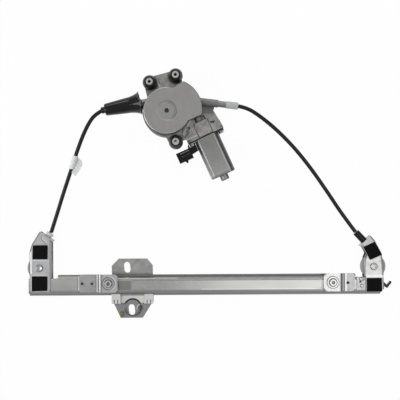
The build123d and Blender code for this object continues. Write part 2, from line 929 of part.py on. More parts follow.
right_rail_ferrule = turned(
    right_rail_point,
    right_cable_heading,
    [
        (right_flange_reach - 4.0, conduit_bore),
        (right_flange_reach - 4.0, neck),
        (right_seat, neck),
        (right_seat, 5.2),
        (right_rail_ferrule_end - 1.0, 5.2),
        (right_rail_ferrule_end, 4.6),
        (right_rail_ferrule_end, conduit_bore),
    ],
)
right_rail_ferrule.label = "right_rail_ferrule"
export_step(right_rail_ferrule, "parts/right_rail_ferrule.step")

# Motor-side ferrules, slack spring and rubber boot
left_motor_ferrule = turned(
    left_drum_point,
    left_wire_heading,
    [
        (left_ferrule_start, conduit_bore),
        (left_ferrule_start, 3.9),
        (spring_seat, 3.9),
        (spring_seat, spring_radius + 0.9),
        (spring_seat + 2.0, spring_radius + 0.9),
        (spring_seat + 2.0, 3.3),
        (left_boot_end - 0.2, 3.3),
        (left_boot_end - 0.2, conduit_bore),
    ],
)
left_motor_ferrule.label = "left_motor_ferrule"
export_step(left_motor_ferrule, "parts/left_motor_ferrule.step")

left_boot = turned(
    left_drum_point,
    left_wire_heading,
    [
        (left_boot_mouth, boot_mouth_radius - boot_wall),
        (left_boot_mouth, boot_mouth_radius),
        (left_boot_mouth + 1.5, boot_mouth_radius),
        (boot_waist, boot_waist_radius),
        (left_boot_neck, boot_neck_radius),
        (left_boot_neck, boot_collar_radius),
        (left_boot_end, boot_collar_radius),
        (left_boot_end, 3.4),
        (left_boot_neck - boot_wall, 3.4),
        (left_boot_neck - boot_wall, boot_neck_radius - boot_wall),
        (boot_waist, boot_waist_radius - boot_wall),
    ],
)
left_boot.label = "left_boot"
export_step(left_boot, "parts/left_boot.step")

with BuildPart() as slack_spring:
    coil_gap = 2 * spring_wire_radius
    coil_start = across_cable(left_drum_point, left_wire_heading, left_spout_end + coil_gap)
    coil_length = spring_seat - left_spout_end - 2 * coil_gap
    with BuildLine():
        coil = Helix(
            pitch=coil_length / spring_turns,
            height=coil_length,
            radius=spring_radius,
            center=coil_start.origin,
            direction=heading(left_wire_heading),
        )
    with BuildSketch(Plane(origin=coil @ 0, z_dir=coil % 0)):
        RegularPolygon(spring_wire_radius, 6)
    sweep(path=coil, is_frenet=True)
slack_spring.part.label = "slack_spring"
export_step(slack_spring.part, "parts/slack_spring.step")

right_adjuster_tube = turned(
    right_drum_point,
    right_wire_heading,
    [
        (right_spout_end - adjuster_depth, conduit_bore),
        (right_spout_end - adjuster_depth, adjuster_radius),
        (right_tube_end, adjuster_radius),
        (right_tube_end, conduit_bore),
    ],
)
right_adjuster_tube.label = "right_adjuster_tube"
export_step(right_adjuster_tube, "parts/right_adjuster_tube.step")

right_motor_ferrule = turned(
    right_drum_point,
    right_wire_heading,
    [
        (right_tube_end, conduit_bore),
        (right_tube_end, 5.4),
        (right_ferrule_end - 0.8, 5.4),
        (right_ferrule_end, 4.6),
        (right_ferrule_end, conduit_bore),
    ],
)
right_motor_ferrule.label = "right_motor_ferrule"
export_step(right_motor_ferrule, "parts/right_motor_ferrule.step")

# Conduits and drive wire
# Straight runs joined by arcs; the wire runs inside both conduits, round the
# pulleys and along the rail.
for side, route in (("left", left_route), ("right", right_route)):
    radii = corner_radii(route)
    print(side, "conduit radii", [round(radius) for radius in radii])
    with BuildPart() as conduit:
        with BuildLine() as route_line:
            FilletPolyline(*route, radius=radii)
        line = route_line.wires()[0]
        with BuildSketch(Plane(origin=line @ 0, z_dir=line % 0)):
            Circle(conduit_radius)
            Circle(conduit_bore, mode=Mode.SUBTRACT)
        sweep(path=line)
    ring_area = 3.14159265 * (conduit_radius**2 - conduit_bore**2)
    print(side, "conduit length", round(line.length, 1), "volume ratio",
          round(conduit.part.volume / (ring_area * line.length), 3))
    conduit.part.label = side + "_conduit"
    export_step(conduit.part, "parts/" + side + "_conduit.step")

left_inner_end = across_cable(left_rail_point, left_cable_heading, left_flange_reach - 2.0).origin
right_inner_end = across_cable(right_rail_point, right_cable_heading, right_flange_reach - 2.0).origin
for side, drum_point, route, inner_end in (
    ("left", left_drum_point, left_route, left_inner_end),
    ("right", right_drum_point, right_route, right_inner_end),
):
    points = [drum_point, *route, tuple(inner_end)]
    with BuildPart() as drive_wire:
        with BuildLine() as wire_line:
            FilletPolyline(*points, radius=corner_radii(points))
        line = wire_line.wires()[0]
        with BuildSketch(Plane(origin=line @ 0, z_dir=line % 0)):
            Circle(wire_radius)
        sweep(path=line)
    drive_wire.part.label = side + "_wire"
    export_step(drive_wire.part, "parts/" + side + "_wire.step")

with BuildPart() as rail_wire:
    with BuildLine() as rail_line:
        Line(tuple(left_inner_end), left_rail_point)
        CenterArc(
            (left_pulley_x, pulley_y, wire_z),
            pulley_path_radius,
            start_angle=left_cable_heading + 90,
            arc_size=180 - left_cable_heading,
        )
        Line((left_pulley_x, rail_wire_y, wire_z), (right_pulley_x, rail_wire_y, wire_z))
        CenterArc(
            (right_pulley_x, pulley_y, wire_z),
            pulley_path_radius,
            start_angle=-90,
            arc_size=right_cable_heading,
        )
        Line(right_rail_point, tuple(right_inner_end))
    line = rail_line.wires()[0]
    with BuildSketch(Plane(origin=line @ 0, z_dir=line % 0)):
        Circle(wire_radius)
    sweep(path=line)
rail_wire.part.label = "rail_wire"
export_step(rail_wire.part, "parts/rail_wire.step")

# Clip on the left conduit: a split sleeve with a flag for the door panel
clip_ends = (Vector(*left_route[4]), Vector(*left_route[5]))
clip_line = (clip_ends[1] - clip_ends[0]).normalized()
clip_start = clip_ends[0] + clip_line * clip_offset
with BuildPart() as conduit_clip:
    with BuildSketch(Plane(origin=clip_start, z_dir=clip_line)):
        Circle(conduit_radius + 1.0)
    extrude(amount=clip_length)
    with BuildSketch(Plane.XY.offset(clip_start.Z - clip_length * 0.09 - clip_thickness)):
        with BuildLine():
            Polyline(*clip_flag, close=True)
        make_face()
    extrude(amount=clip_thickness)
    with BuildSketch(Plane(origin=clip_start - clip_line * clip_length, z_dir=clip_line)):
        Circle(conduit_radius + running_gap)
    extrude(amount=3 * clip_length, mode=Mode.SUBTRACT)
conduit_clip.part.label = "conduit_clip"
export_step(conduit_clip.part, "parts/conduit_clip.step")

# Drum
# A flanged drum with a groove for each winding; the wire arrives between them.
drum_low = drum_z - drum_height / 2
drum_high = drum_z + drum_height / 2
winding_radius = drum_path_radius - wire_radius
drum_axis = Axis((drum_x, drum_y, 0), (0, 0, 1))
drum_section = Plane(origin=(drum_x, drum_y, 0), x_dir=(1, 0, 0), z_dir=(0, -1, 0))
with BuildPart() as cable_drum:
    with BuildSketch(drum_section):
        with BuildLine():
            Polyline(
                (hub_radius, drum_low),
                (drum_rim_radius, drum_low),
                (drum_rim_radius, drum_low + drum_flange),
                (winding_radius, drum_low + drum_flange),
                (winding_radius, drum_z - landing_half),
                (winding_radius - wire_gap, drum_z - landing_half),
                (winding_radius - wire_gap, drum_z + landing_half),
                (winding_radius, drum_z + landing_half),
                (winding_radius, drum_high - drum_flange),
                (drum_rim_radius, drum_high - drum_flange),
                (drum_rim_radius, drum_high),
                (shaft_radius + running_gap, drum_high),
                (shaft_radius + running_gap, drum_z),
                (hub_radius, drum_z),
                close=True,
            )
        make_face()
    revolve(axis=drum_axis)
    for level, depth in ((drum_high, -pocket_depth), (drum_low, pocket_depth)):
        with BuildSketch(Plane.XY.offset(level)):
            with Locations((drum_x, drum_y + pocket_place)):
                Circle(drum_nipple_radius)
        extrude(amount=depth, mode=Mode.SUBTRACT)
cable_drum.part.label = "cable_drum"
export_step(cable_drum.part, "parts/cable_drum.step")

with BuildPart() as drum_nipples:
    for level, depth in ((drum_high, -pocket_depth), (drum_low, pocket_depth)):
        with BuildSketch(Plane.XY.offset(level)):
            with Locations((drum_x, drum_y + pocket_place)):
                Circle(drum_nipple_radius)
        extrude(amount=depth)
drum_nipples.part.label = "drum_nipples"
export_step(drum_nipples.part, "parts/drum_nipples.step")

# Windings: three turns of wire at each end of the drum, as one ribbed sleeve each
with BuildPart() as drum_windings:
    for first in (drum_low + drum_flange + wire_radius, drum_high - drum_flange - 5 * wire_radius):
        with BuildSketch(drum_section):
            with BuildLine():
                ridge = [(winding_radius, first - 0.9 * wire_radius)]
                for turn in range(3):
                    middle = first + turn * 2 * wire_radius
                    ridge.append((winding_radius + 2 * wire_radius, middle - 0.3 * wire_radius))
                    ridge.append((winding_radius + 2 * wire_radius, middle + 0.3 * wire_radius))
                    if turn < 2:
                        ridge.append((drum_path_radius, middle + wire_radius))
                ridge.append((winding_radius, first + 4.9 * wire_radius))
                Polyline(*ridge, close=True)
            make_face()
        revolve(axis=drum_axis)
drum_windings.part.label = "drum_windings"
export_step(drum_windings.part, "parts/drum_windings.step")

# Worm wheel
# Slanted teeth on a dished wheel; the damper sits in its pocket. A tooth gap faces
# the worm where the two pitch lines touch.
lead_slope = tooth_pitch / (2 * 3.14159265 * worm_pitch_radius)
wheel_low = worm_z - wheel_width / 2
wheel_high = worm_z + wheel_width / 2
tip_radius = wheel_pitch_radius + gear_module
root_radius = wheel_pitch_radius - 1.3 * gear_module
tooth_root = 1.5 * tooth_share * tooth_pitch
with BuildPart() as tooth:
    start_shift = -lead_slope * wheel_width / 2
    with BuildSketch(Plane.XY.offset(-wheel_width / 2)):
        with BuildLine():
            Polyline(
                (root_radius - 0.4, start_shift - tooth_root / 2),
                (tip_radius, start_shift - tooth_share * tooth_pitch / 3),
                (tip_radius, start_shift + tooth_share * tooth_pitch / 3),
                (root_radius - 0.4, start_shift + tooth_root / 2),
                close=True,
            )
        make_face()
    extrude(amount=wheel_width, dir=(0, lead_slope, 1))
first_tooth = mesh_angle + 180 / wheel_teeth
with BuildPart(Plane(origin=(drum_x, drum_y, worm_z))) as worm_wheel:
    with BuildSketch(Plane(origin=(drum_x, drum_y, wheel_low))):
        Circle(root_radius)
        Circle(shaft_radius + running_gap, mode=Mode.SUBTRACT)
    extrude(amount=wheel_width)
    with BuildSketch(Plane(origin=(drum_x, drum_y, wheel_low + wheel_floor))):
        Circle(pocket_radius)
        Circle(wheel_boss_radius, mode=Mode.SUBTRACT)
    extrude(amount=wheel_width, mode=Mode.SUBTRACT)
    with BuildSketch(Plane(origin=(drum_x, drum_y, wheel_high - hub_plate))):
        Circle(pocket_radius)
    extrude(amount=wheel_width, mode=Mode.SUBTRACT)
    with PolarLocations(0, wheel_teeth, start_angle=first_tooth):
        add(tooth.part)
worm_wheel.part.label = "worm_wheel"
export_step(worm_wheel.part, "parts/worm_wheel.step")

# Rubber damper between wheel and drive hub, slotted for the hub's three fingers
damper_top = wheel_high - hub_plate
with BuildPart() as rubber_damper:
    with BuildSketch(Plane(origin=(drum_x, drum_y, wheel_low + wheel_floor))):
        Circle(pocket_radius)
        Circle(wheel_boss_radius, mode=Mode.SUBTRACT)
        with PolarLocations(finger_place, 3):
            Rectangle(finger_length, finger_width, mode=Mode.SUBTRACT)
    extrude(amount=damper_top - wheel_low - wheel_floor)
rubber_damper.part.label = "rubber_damper"
export_step(rubber_damper.part, "parts/rubber_damper.step")

with BuildPart() as drive_hub:
    with BuildSketch(Plane(origin=(drum_x, drum_y, damper_top))):
        Circle(pocket_radius)
        Circle(shaft_radius + running_gap, mode=Mode.SUBTRACT)
    extrude(amount=hub_plate + running_gap)
    with BuildSketch(Plane(origin=(drum_x, drum_y, damper_top))):
        with PolarLocations(finger_place, 3):
            Rectangle(finger_length, finger_width)
    extrude(amount=-(damper_top - wheel_low - wheel_floor))
    with BuildSketch(Plane(origin=(drum_x, drum_y, wheel_high))):
        Circle(hub_radius)
        Circle(shaft_radius + running_gap, mode=Mode.SUBTRACT)
    extrude(amount=drum_z - wheel_high)
drive_hub.part.label = "drive_hub"
export_step(drive_hub.part, "parts/drive_hub.step")

with BuildPart() as drum_shaft:
    with BuildSketch(Plane(origin=(drum_x, drum_y, housing_back))):
        Circle(shaft_radius)
    extrude(amount=drum_high + shaft_end - housing_back)
    chamfer(drum_shaft.faces().sort_by(Axis.Z)[-1].edges(), length=0.5)
drum_shaft.part.label = "drum_shaft"
export_step(drum_shaft.part, "parts/drum_shaft.step")

# Armature
# Worm and shaft are one axis: a right-handed thread, then the laminated core, its
# coils and the commutator inside the can.
thread_length = worm_turns * tooth_pitch
thread_root = worm_pitch_radius - 1.2 * gear_module
with BuildPart() as thread:
    with BuildLine():
        screw = Helix(pitch=tooth_pitch, height=thread_length, radius=worm_pitch_radius)
    with BuildSketch(Plane(origin=screw @ 0, x_dir=(1, 0, 0), z_dir=(0, 1, lead_slope))):
        with BuildLine():
            Polyline(
                (-1.5 * gear_module, tooth_root / 2),
                (gear_module, tooth_share * tooth_pitch / 3),
                (gear_module, -tooth_share * tooth_pitch / 3),
                (-1.5 * gear_module, -tooth_root / 2),
                close=True,
            )
        make_face()
    sweep(path=screw, is_frenet=True)
with BuildPart(across_motor(-thread_length / 2)) as worm:
    add(thread.part)
    with BuildSketch(across_motor(-thread_length / 2 - worm_collar)):
        Circle(thread_root)
    extrude(amount=thread_length + 2 * worm_collar)
    with BuildSketch(across_motor(-thread_length / 2 - worm_collar)):
        Circle(rotor_shaft_radius)
    extrude(amount=thread_length + 2 * worm_collar, mode=Mode.SUBTRACT)
worm.part.label = "worm"
export_step(worm.part, "parts/worm.step")

with BuildPart() as armature_shaft:
    with BuildSketch(across_motor(-shaft_tail)):
        Circle(rotor_shaft_radius)
    extrude(amount=shaft_tail + can_mouth + can_length + rear_boss - 2)
armature_shaft.part.label = "armature_shaft"
export_step(armature_shaft.part, "parts/armature_shaft.step")

with BuildPart() as armature_core:
    with BuildSketch(across_motor(core_start)):
        Circle(core_radius)
        Circle(rotor_shaft_radius, mode=Mode.SUBTRACT)
        with PolarLocations(core_radius - 2.2, 8):
            Rectangle(4.6, 1.6, mode=Mode.SUBTRACT)
            with Locations((-1.6, 0)):
                Circle(1.5, mode=Mode.SUBTRACT)
    extrude(amount=core_length)
armature_core.part.label = "armature_core"
export_step(armature_core.part, "parts/armature_core.step")

with BuildPart() as armature_coils:
    for start in (core_start - coil_overhang, core_start + core_length):
        with BuildSketch(across_motor(start)):
            Circle(core_radius - 1.6)
            Circle(rotor_shaft_radius + 0.5, mode=Mode.SUBTRACT)
        extrude(amount=coil_overhang)
armature_coils.part.label = "armature_coils"
export_step(armature_coils.part, "parts/armature_coils.step")

with BuildPart() as commutator:
    with BuildSketch(across_motor(core_start - coil_overhang - commutator_length)):
        Circle(commutator_radius)
        Circle(rotor_shaft_radius, mode=Mode.SUBTRACT)
        with PolarLocations(commutator_radius, 8):
            Rectangle(1.0, 0.5, mode=Mode.SUBTRACT)
    extrude(amount=commutator_length)
commutator.part.label = "commutator"
export_step(commutator.part, "parts/commutator.step")

# Motor inside: brushes, magnets and bushes
brush_middle = core_start - coil_overhang - commutator_length / 2
can_inside = can_radius - can_wall
can_end = can_mouth + can_length
with BuildPart() as brushes:
    with BuildSketch(across_motor(brush_middle - brush_width / 2)):
        for place in (-1, 1):
            with Locations((place * (commutator_radius + running_gap + brush_length / 2), 0)):
                Rectangle(brush_length, brush_width)
    extrude(amount=brush_width)
brushes.part.label = "brushes"
export_step(brushes.part, "parts/brushes.step")

brush_back = commutator_radius + running_gap + brush_length
with BuildPart() as brush_springs:
    for place in (-1, 1):
        start = Vector(foot_x, foot_y, worm_z) + heading(mesh_angle - 90) * brush_middle
        start += heading(mesh_angle) * place * brush_back
        with BuildSketch(Plane(origin=start, z_dir=heading(mesh_angle) * place)):
            Circle(brush_spring_radius)
            Circle(brush_spring_radius - spring_wire_radius, mode=Mode.SUBTRACT)
        extrude(amount=can_inside - 0.6 - brush_back)
brush_springs.part.label = "brush_springs"
export_step(brush_springs.part, "parts/brush_springs.step")

with BuildPart() as magnets:
    with BuildSketch(across_motor(magnet_start)):
        Circle(can_inside)
        Circle(core_radius + magnet_gap, mode=Mode.SUBTRACT)
        Rectangle(2 * can_radius, 2 * magnet_half, mode=Mode.INTERSECT)
    extrude(amount=magnet_length)
magnets.part.label = "magnets"
export_step(magnets.part, "parts/magnets.step")

with BuildPart() as shaft_bushes:
    for start, length, radius in (
        (-shaft_tail, tail_bush_length, bush_radius),
        (front_bush_start, front_bush_length, bush_radius),
        (can_end, rear_boss - 2.0, bush_radius),
    ):
        with BuildSketch(across_motor(start)):
            Circle(radius)
            Circle(rotor_shaft_radius + 0.1, mode=Mode.SUBTRACT)
        extrude(amount=length)
shaft_bushes.part.label = "shaft_bushes"
export_step(shaft_bushes.part, "parts/shaft_bushes.step")

# Motor can: drawn steel with two flats, a flange with ears and a bearing boss
motor_axis = cable_axis((foot_x, foot_y, worm_z), mesh_angle - 90)
with BuildPart() as motor_can:
    with BuildSketch(across_motor(can_mouth)) as can_plan:
        Circle(can_radius)
        Rectangle(2 * can_radius, 2 * can_flat, mode=Mode.INTERSECT)
        fillet(can_plan.vertices(), radius=can_corner)
    extrude(amount=can_length)
    fillet(motor_can.faces().sort_by(motor_axis)[-1].edges(), radius=can_edge)
    with BuildSketch(across_motor(can_end - can_wall)):
        Circle(rear_boss_radius)
    extrude(amount=rear_boss + can_wall)
    fillet(motor_can.faces().sort_by(motor_axis)[-1].edges(), radius=can_edge)
    with BuildSketch(across_motor(can_mouth)):
        RectangleRounded(2 * ear_half, ear_height, 5.0)
    extrude(amount=can_wall)
    with BuildSketch(across_motor(can_mouth)):
        Circle(can_inside)
        Rectangle(2 * can_radius, 2 * (can_flat - can_wall), mode=Mode.INTERSECT)
    extrude(amount=can_length - can_wall, mode=Mode.SUBTRACT)
    with BuildSketch(across_motor(can_end - 2 * can_wall)):
        Circle(bush_radius)
    extrude(amount=rear_boss + can_wall - 1.5 + can_wall, mode=Mode.SUBTRACT)
    with BuildSketch(across_motor(can_mouth)):
        with Locations((-screw_place, 0), (screw_place, 0)):
            Circle(screw_radius)
    extrude(amount=can_wall, mode=Mode.SUBTRACT)
motor_can.part.label = "motor_can"
export_step(motor_can.part, "parts/motor_can.step")

with BuildPart() as motor_screws:
    for place in (-screw_place, screw_place):
        with BuildSketch(across_motor(can_mouth - screw_depth, place)):
            Circle(screw_radius)
        extrude(amount=screw_depth + can_wall)
        with BuildSketch(across_motor(can_mouth + can_wall, place)):
            RegularPolygon(screw_head_radius, 6)
        extrude(amount=screw_head_height)
motor_screws.part.label = "motor_screws"
export_step(motor_screws.part, "parts/motor_screws.step")

# Brush holder
# One black moulding: a plate between can and gear housing, a box for each brush, and
# a neck to the connector, whose socket faces away from the motor.
plate_start = can_mouth - holder_plate
with BuildPart() as brush_holder:
    with BuildSketch(across_motor(plate_start)):
        RectangleRounded(2 * ear_half, ear_height, 5.0)
    extrude(amount=holder_plate)
    with BuildSketch(across_motor(can_mouth)):
        Circle(can_inside - 0.1)
        Rectangle(2 * can_radius, 2 * (can_flat - can_wall) - 0.2, mode=Mode.INTERSECT)
    extrude(amount=holder_ring)
    with BuildSketch(across_motor(can_mouth)):
        Rectangle(2 * (can_inside - 0.6), brush_width + 3.0)
    extrude(amount=brush_middle + brush_width / 2 + 1.0 - can_mouth)
    with BuildSketch(across_motor(plate_start)):
        Circle(commutator_radius + 1.4)
    extrude(amount=can_length / 2, mode=Mode.SUBTRACT)
    with BuildSketch(across_motor(brush_middle - brush_width / 2)):
        Rectangle(2 * (can_inside - 0.6), brush_width)
    extrude(amount=brush_width, mode=Mode.SUBTRACT)
    with BuildSketch(across_motor(plate_start)):
        with Locations((-screw_place, 0), (screw_place, 0)):
            Circle(screw_radius)
    extrude(amount=holder_plate, mode=Mode.SUBTRACT)
    with BuildSketch(motor_top(neck_low)):
        with BuildLine():
            Polyline(
                (plate_start, -ear_half + 2.0),
                (plate_start, -neck_reach + 4.0),
                (plate_start + 4.0, -neck_reach),
                (socket_start + socket_width - 5.0, -neck_reach),
                (socket_start + socket_width - 6.0, -neck_reach + 7.0),
                (can_mouth + can_wall + neck_root, -can_radius - running_gap),
                (can_mouth + can_wall + screw_head_height + 0.4, -can_radius - running_gap),
                (can_mouth + can_wall + screw_head_height + 0.4, -ear_half - 0.6),
                (can_mouth, -ear_half - 0.6),
                (can_mouth, -ear_half + 2.0),
                close=True,
            )
        make_face()
    extrude(amount=neck_height)
    with BuildSketch(motor_top(socket_low)):
        with Locations((socket_start + socket_width / 2, -neck_reach + 2.0)):
            Rectangle(socket_width, socket_length + 2.0, align=(Align.CENTER, Align.MAX))
    extrude(amount=socket_height)
    socket_mouth = -neck_reach - socket_length
    with BuildSketch(motor_top(socket_low + socket_wall)):
        with Locations((socket_start + socket_width / 2, socket_mouth)):
            Rectangle(
                socket_width - 2 * socket_wall,
                socket_depth,
                align=(Align.CENTER, Align.MIN),
            )
    extrude(amount=socket_height - 2 * socket_wall, mode=Mode.SUBTRACT)
    with BuildSketch(motor_top(socket_low + 4)):
        with BuildLine():
            Polyline(
                (socket_start + socket_width, socket_mouth + 13.5),
                (socket_start + socket_width + 3.6, socket_mouth + 12.0),
                (socket_start + socket_width + 3.6, socket_mouth + 10.6),
                (socket_start + socket_width, socket_mouth + 8.6),
                close=True,
            )
        make_face()
    extrude(amount=socket_height - 8)
brush_holder.part.label = "brush_holder"
export_step(brush_holder.part, "parts/brush_holder.step")

with BuildPart() as terminals:
    with BuildSketch(motor_top(socket_low + socket_height / 2 - 0.4)):
        for place in (-1, 1):
            with Locations((socket_start + socket_width / 2 + place * 2.6, socket_mouth + 3.0)):
                Rectangle(2.4, socket_depth - 3.0, align=(Align.CENTER, Align.MIN))
    extrude(amount=0.8)
terminals.part.label = "terminals"
export_step(terminals.part, "parts/terminals.step")


def chamber_plan(inset):
    """Plan of the drum chamber: a circle with a lobe toward the motor."""
    lobe_centre = (drum_x + lobe_offset[0], drum_y + lobe_offset[1])
    low_corner = Vector(drum_x, drum_y) + heading(lobe_low_corner) * cover_radius
    high_corner = Vector(drum_x, drum_y) + heading(lobe_high_corner) * cover_radius
    with BuildSketch() as plan:
        with Locations((drum_x, drum_y)):
            Circle(cover_radius)
        with BuildLine():
            lobe = CenterArc(lobe_centre, lobe_radius, start_angle=lobe_low, arc_size=lobe_sweep)
            Polyline(lobe @ 1, tuple(high_corner), (drum_x, drum_y), tuple(low_corner), lobe @ 0)
        make_face()
        fillet(plan.vertices(), radius=lobe_corner)
        if inset:
            offset(amount=-inset)
    return plan.sketch


# Gear housing
# The casting: a bowl for the worm wheel, a walled chamber for the drum on its deck,
# the worm tunnel with its neck and motor flange, three mounting ears and two spouts.
wall_inset = cover_skirt + 0.1
cavity_top = wheel_high + 1.5
flange_face = plate_start
with BuildPart() as gear_housing:
    with BuildSketch(Plane.XY.offset(housing_back)):
        with Locations((drum_x, drum_y)):
            Circle(bowl_radius)
    extrude(amount=deck_top - housing_back)
    with BuildSketch(Plane.XY.offset(cavity_top)):
        add(chamber_plan(wall_inset))
    extrude(amount=cover_seat - cavity_top)
    with BuildSketch(across_motor(-tunnel_tail)):
        Circle(tunnel_radius)
    extrude(amount=tunnel_tail + neck_start + 4)
    with BuildSketch(across_motor(neck_start)):
        with Locations((1.0, neck_rise)):
            RectangleRounded(neck_width, neck_depth, 3.0)
    extrude(amount=flange_face - 1.0 - neck_start)
    with BuildSketch(across_motor(flange_face - casting_flange)):
        RectangleRounded(2 * flange_half_width, casting_flange_height, 6.0)
    extrude(amount=casting_flange)
    upper_left, upper_right, lower = boss_positions
    with BuildSketch(Plane.XY.offset(ear_low)):
        with Locations(upper_left, upper_right):
            Circle(ear_boss_radius)
        with Locations((drum_x, drum_y)):
            Circle(upper_ear_root)
        make_hull()
    extrude(amount=ear_thickness)
    with BuildSketch(Plane.XY.offset(ear_low)):
        with Locations(lower):
            Circle(ear_boss_radius + 0.5)
        with Locations((drum_x, drum_y)):
            Circle(lower_ear_root)
        make_hull()
    extrude(amount=ear_thickness)
    for outline in (web_outline, lower_web_outline):
        with BuildSketch(motor_top(deck_top)):
            with BuildLine():
                Polyline(*outline, close=True)
            make_face()
        extrude(amount=-web_thickness)
    for start, angle, radius, reach in (
        (left_drum_point, left_wire_heading, left_spout_radius, left_spout_end),
        (right_drum_point, right_wire_heading, spout_radius, right_spout_end),
    ):
        with BuildSketch(across_cable(start, angle, spout_root)):
            Circle(radius)
        extrude(amount=reach - spout_root)
    with BuildSketch(across_cable(left_drum_point, left_wire_heading, left_spout_end - spring_cup)):
        Circle(spring_radius + 1.0)
    extrude(amount=spring_cup)
    with BuildSketch(motor_top(deck_top)):
        for recess in casting_recesses:
            with BuildLine():
                Polyline(*recess, close=True)
            make_face()
    extrude(amount=-recess_depth, mode=Mode.SUBTRACT)
    slit_start = Vector(*ear_slit[0])
    slit_run = Vector(*ear_slit[1]) - slit_start
    slit_middle = slit_start + slit_run * 0.5
    slit_plane = Plane(
        origin=(slit_middle.X, slit_middle.Y, ear_low + ear_thickness), x_dir=slit_run, z_dir=(0, 0, 1)
    )
    with BuildSketch(slit_plane):
        SlotOverall(slit_run.length, ear_slit_width)
    extrude(amount=-ear_slit_depth, mode=Mode.SUBTRACT)
    with BuildSketch(Plane.XY.offset(housing_back)):
        with Locations((drum_x, drum_y)):
            Circle(bowl_radius - bowl_wall)
    extrude(amount=cavity_top - housing_back, mode=Mode.SUBTRACT)
    with BuildSketch(Plane.XY.offset(deck_top)):
        add(chamber_plan(wall_inset + chamber_wall))
    extrude(amount=cover_top - deck_top, mode=Mode.SUBTRACT)
    with BuildSketch(Plane.XY.offset(cavity_top)):
        with Locations((drum_x, drum_y)):
            Circle(hub_radius + 0.6)
    extrude(amount=deck_top - cavity_top, mode=Mode.SUBTRACT)
    worm_half = thread_length / 2 + worm_collar + running_gap
    with BuildSketch(across_motor(-worm_half)):
        Circle(worm_pitch_radius + gear_module + 0.5)
    extrude(amount=2 * worm_half, mode=Mode.SUBTRACT)
    with BuildSketch(across_motor(-shaft_tail - 0.2)):
        Circle(bush_radius)
    extrude(amount=shaft_tail + 0.2, mode=Mode.SUBTRACT)
    with BuildSketch(across_motor(0)):
        Circle(rotor_shaft_radius + 1.0)
    extrude(amount=flange_face, mode=Mode.SUBTRACT)
    with BuildSketch(across_motor(front_bush_start)):
        Circle(bush_radius)
    extrude(amount=flange_face - front_bush_start, mode=Mode.SUBTRACT)
    for start, angle, radius, depth, reach in (
        (left_drum_point, left_wire_heading, wire_bore, 0, left_spout_end),
        (right_drum_point, right_wire_heading, wire_bore, 0, right_spout_end),
        (
            right_drum_point,
            right_wire_heading,
            adjuster_radius,
            right_spout_end - adjuster_depth,
            right_spout_end,
        ),
    ):
        with BuildSketch(across_cable(start, angle, depth)):
            Circle(radius)
        extrude(amount=reach - depth, mode=Mode.SUBTRACT)
    with BuildSketch(Plane.XY.offset(ear_low)):
        with Locations(*boss_positions):
            Circle(grommet_neck)
    extrude(amount=ear_thickness, mode=Mode.SUBTRACT)
    with BuildSketch(across_motor(can_mouth - screw_depth)):
        with Locations((-screw_place, 0), (screw_place, 0)):
            Circle(screw_radius)
    extrude(amount=screw_depth, mode=Mode.SUBTRACT)
gear_housing.part.label = "gear_housing"
export_step(gear_housing.part, "parts/gear_housing.step")

# Drum cover: a pressed cap whose skirt fits round the chamber wall
with BuildPart() as drum_cover:
    with BuildSketch(Plane.XY.offset(cover_seat - cover_skirt_depth)):
        add(chamber_plan(0))
    extrude(amount=cover_skirt_depth + cover_sheet)
    fillet(drum_cover.faces().sort_by(Axis.Z)[-1].edges(), radius=1.2)
    with BuildSketch(Plane.XY.offset(cover_seat - cover_skirt_depth)):
        add(chamber_plan(cover_skirt))
    extrude(amount=cover_skirt_depth, mode=Mode.SUBTRACT)
    with BuildSketch(Plane.XY.offset(cover_top)):
        with Locations((drum_x, drum_y)):
            Circle(emboss_radius)
    extrude(amount=-emboss_depth, mode=Mode.SUBTRACT)
    with BuildSketch(Plane.XY.offset(cover_top)):
        with Locations((drum_x, drum_y)):
            Circle(shaft_radius + 0.05)
    extrude(amount=-cover_sheet, mode=Mode.SUBTRACT)
drum_cover.part.label = "drum_cover"
export_step(drum_cover.part, "parts/drum_cover.step")

# Back cover with the boss that carries the drum shaft
with BuildPart() as gear_back_cover:
    with BuildSketch(Plane.XY.offset(housing_back)):
        with Locations((drum_x, drum_y)):
            Circle(bowl_radius)
    extrude(amount=-back_cover_sheet)
    with BuildSketch(Plane.XY.offset(housing_back)):
        with Locations((drum_x, drum_y)):
            Circle(wheel_boss_radius)
            Circle(shaft_radius, mode=Mode.SUBTRACT)
    extrude(amount=wheel_low - running_gap - housing_back)
gear_back_cover.part.label = "gear_back_cover"
export_step(gear_back_cover.part, "parts/gear_back_cover.step")

# Rubber grommets in the ears, each with a threaded steel sleeve
with BuildPart() as mounting_grommets:
    for boss_x, boss_y in boss_positions:
        with BuildSketch(Plane(origin=(boss_x, boss_y, 0), x_dir=(1, 0, 0), z_dir=(0, -1, 0))):
            with BuildLine():
                Polyline(
                    (sleeve_radius, ear_low - grommet_lip),
                    (grommet_radius - 2.0, ear_low - grommet_lip),
                    (grommet_radius - 1.0, ear_low),
                    (grommet_neck, ear_low),
                    (grommet_neck, ear_low + ear_thickness),
                    (grommet_radius, ear_low + ear_thickness),
                    (grommet_radius, ear_low + ear_thickness + 9.0),
                    (grommet_radius - 1.6, grommet_top - 3.0),
                    (grommet_radius - 3.4, grommet_top),
                    (sleeve_radius, grommet_top),
                    close=True,
                )
            make_face()
        revolve(axis=Axis((boss_x, boss_y, 0), (0, 0, 1)))
mounting_grommets.part.label = "mounting_grommets"
export_step(mounting_grommets.part, "parts/mounting_grommets.step")

sleeve_low = ear_low - grommet_lip
with BuildPart() as grommet_sleeves:
    with BuildSketch(Plane.XY.offset(sleeve_low)):
        with Locations(*boss_positions):
            Circle(sleeve_radius)
            Circle(mount_thread_radius, mode=Mode.SUBTRACT)
    extrude(amount=grommet_top + 0.5 - sleeve_low)
grommet_sleeves.part.label = "grommet_sleeves"
export_step(grommet_sleeves.part, "parts/grommet_sleeves.step")
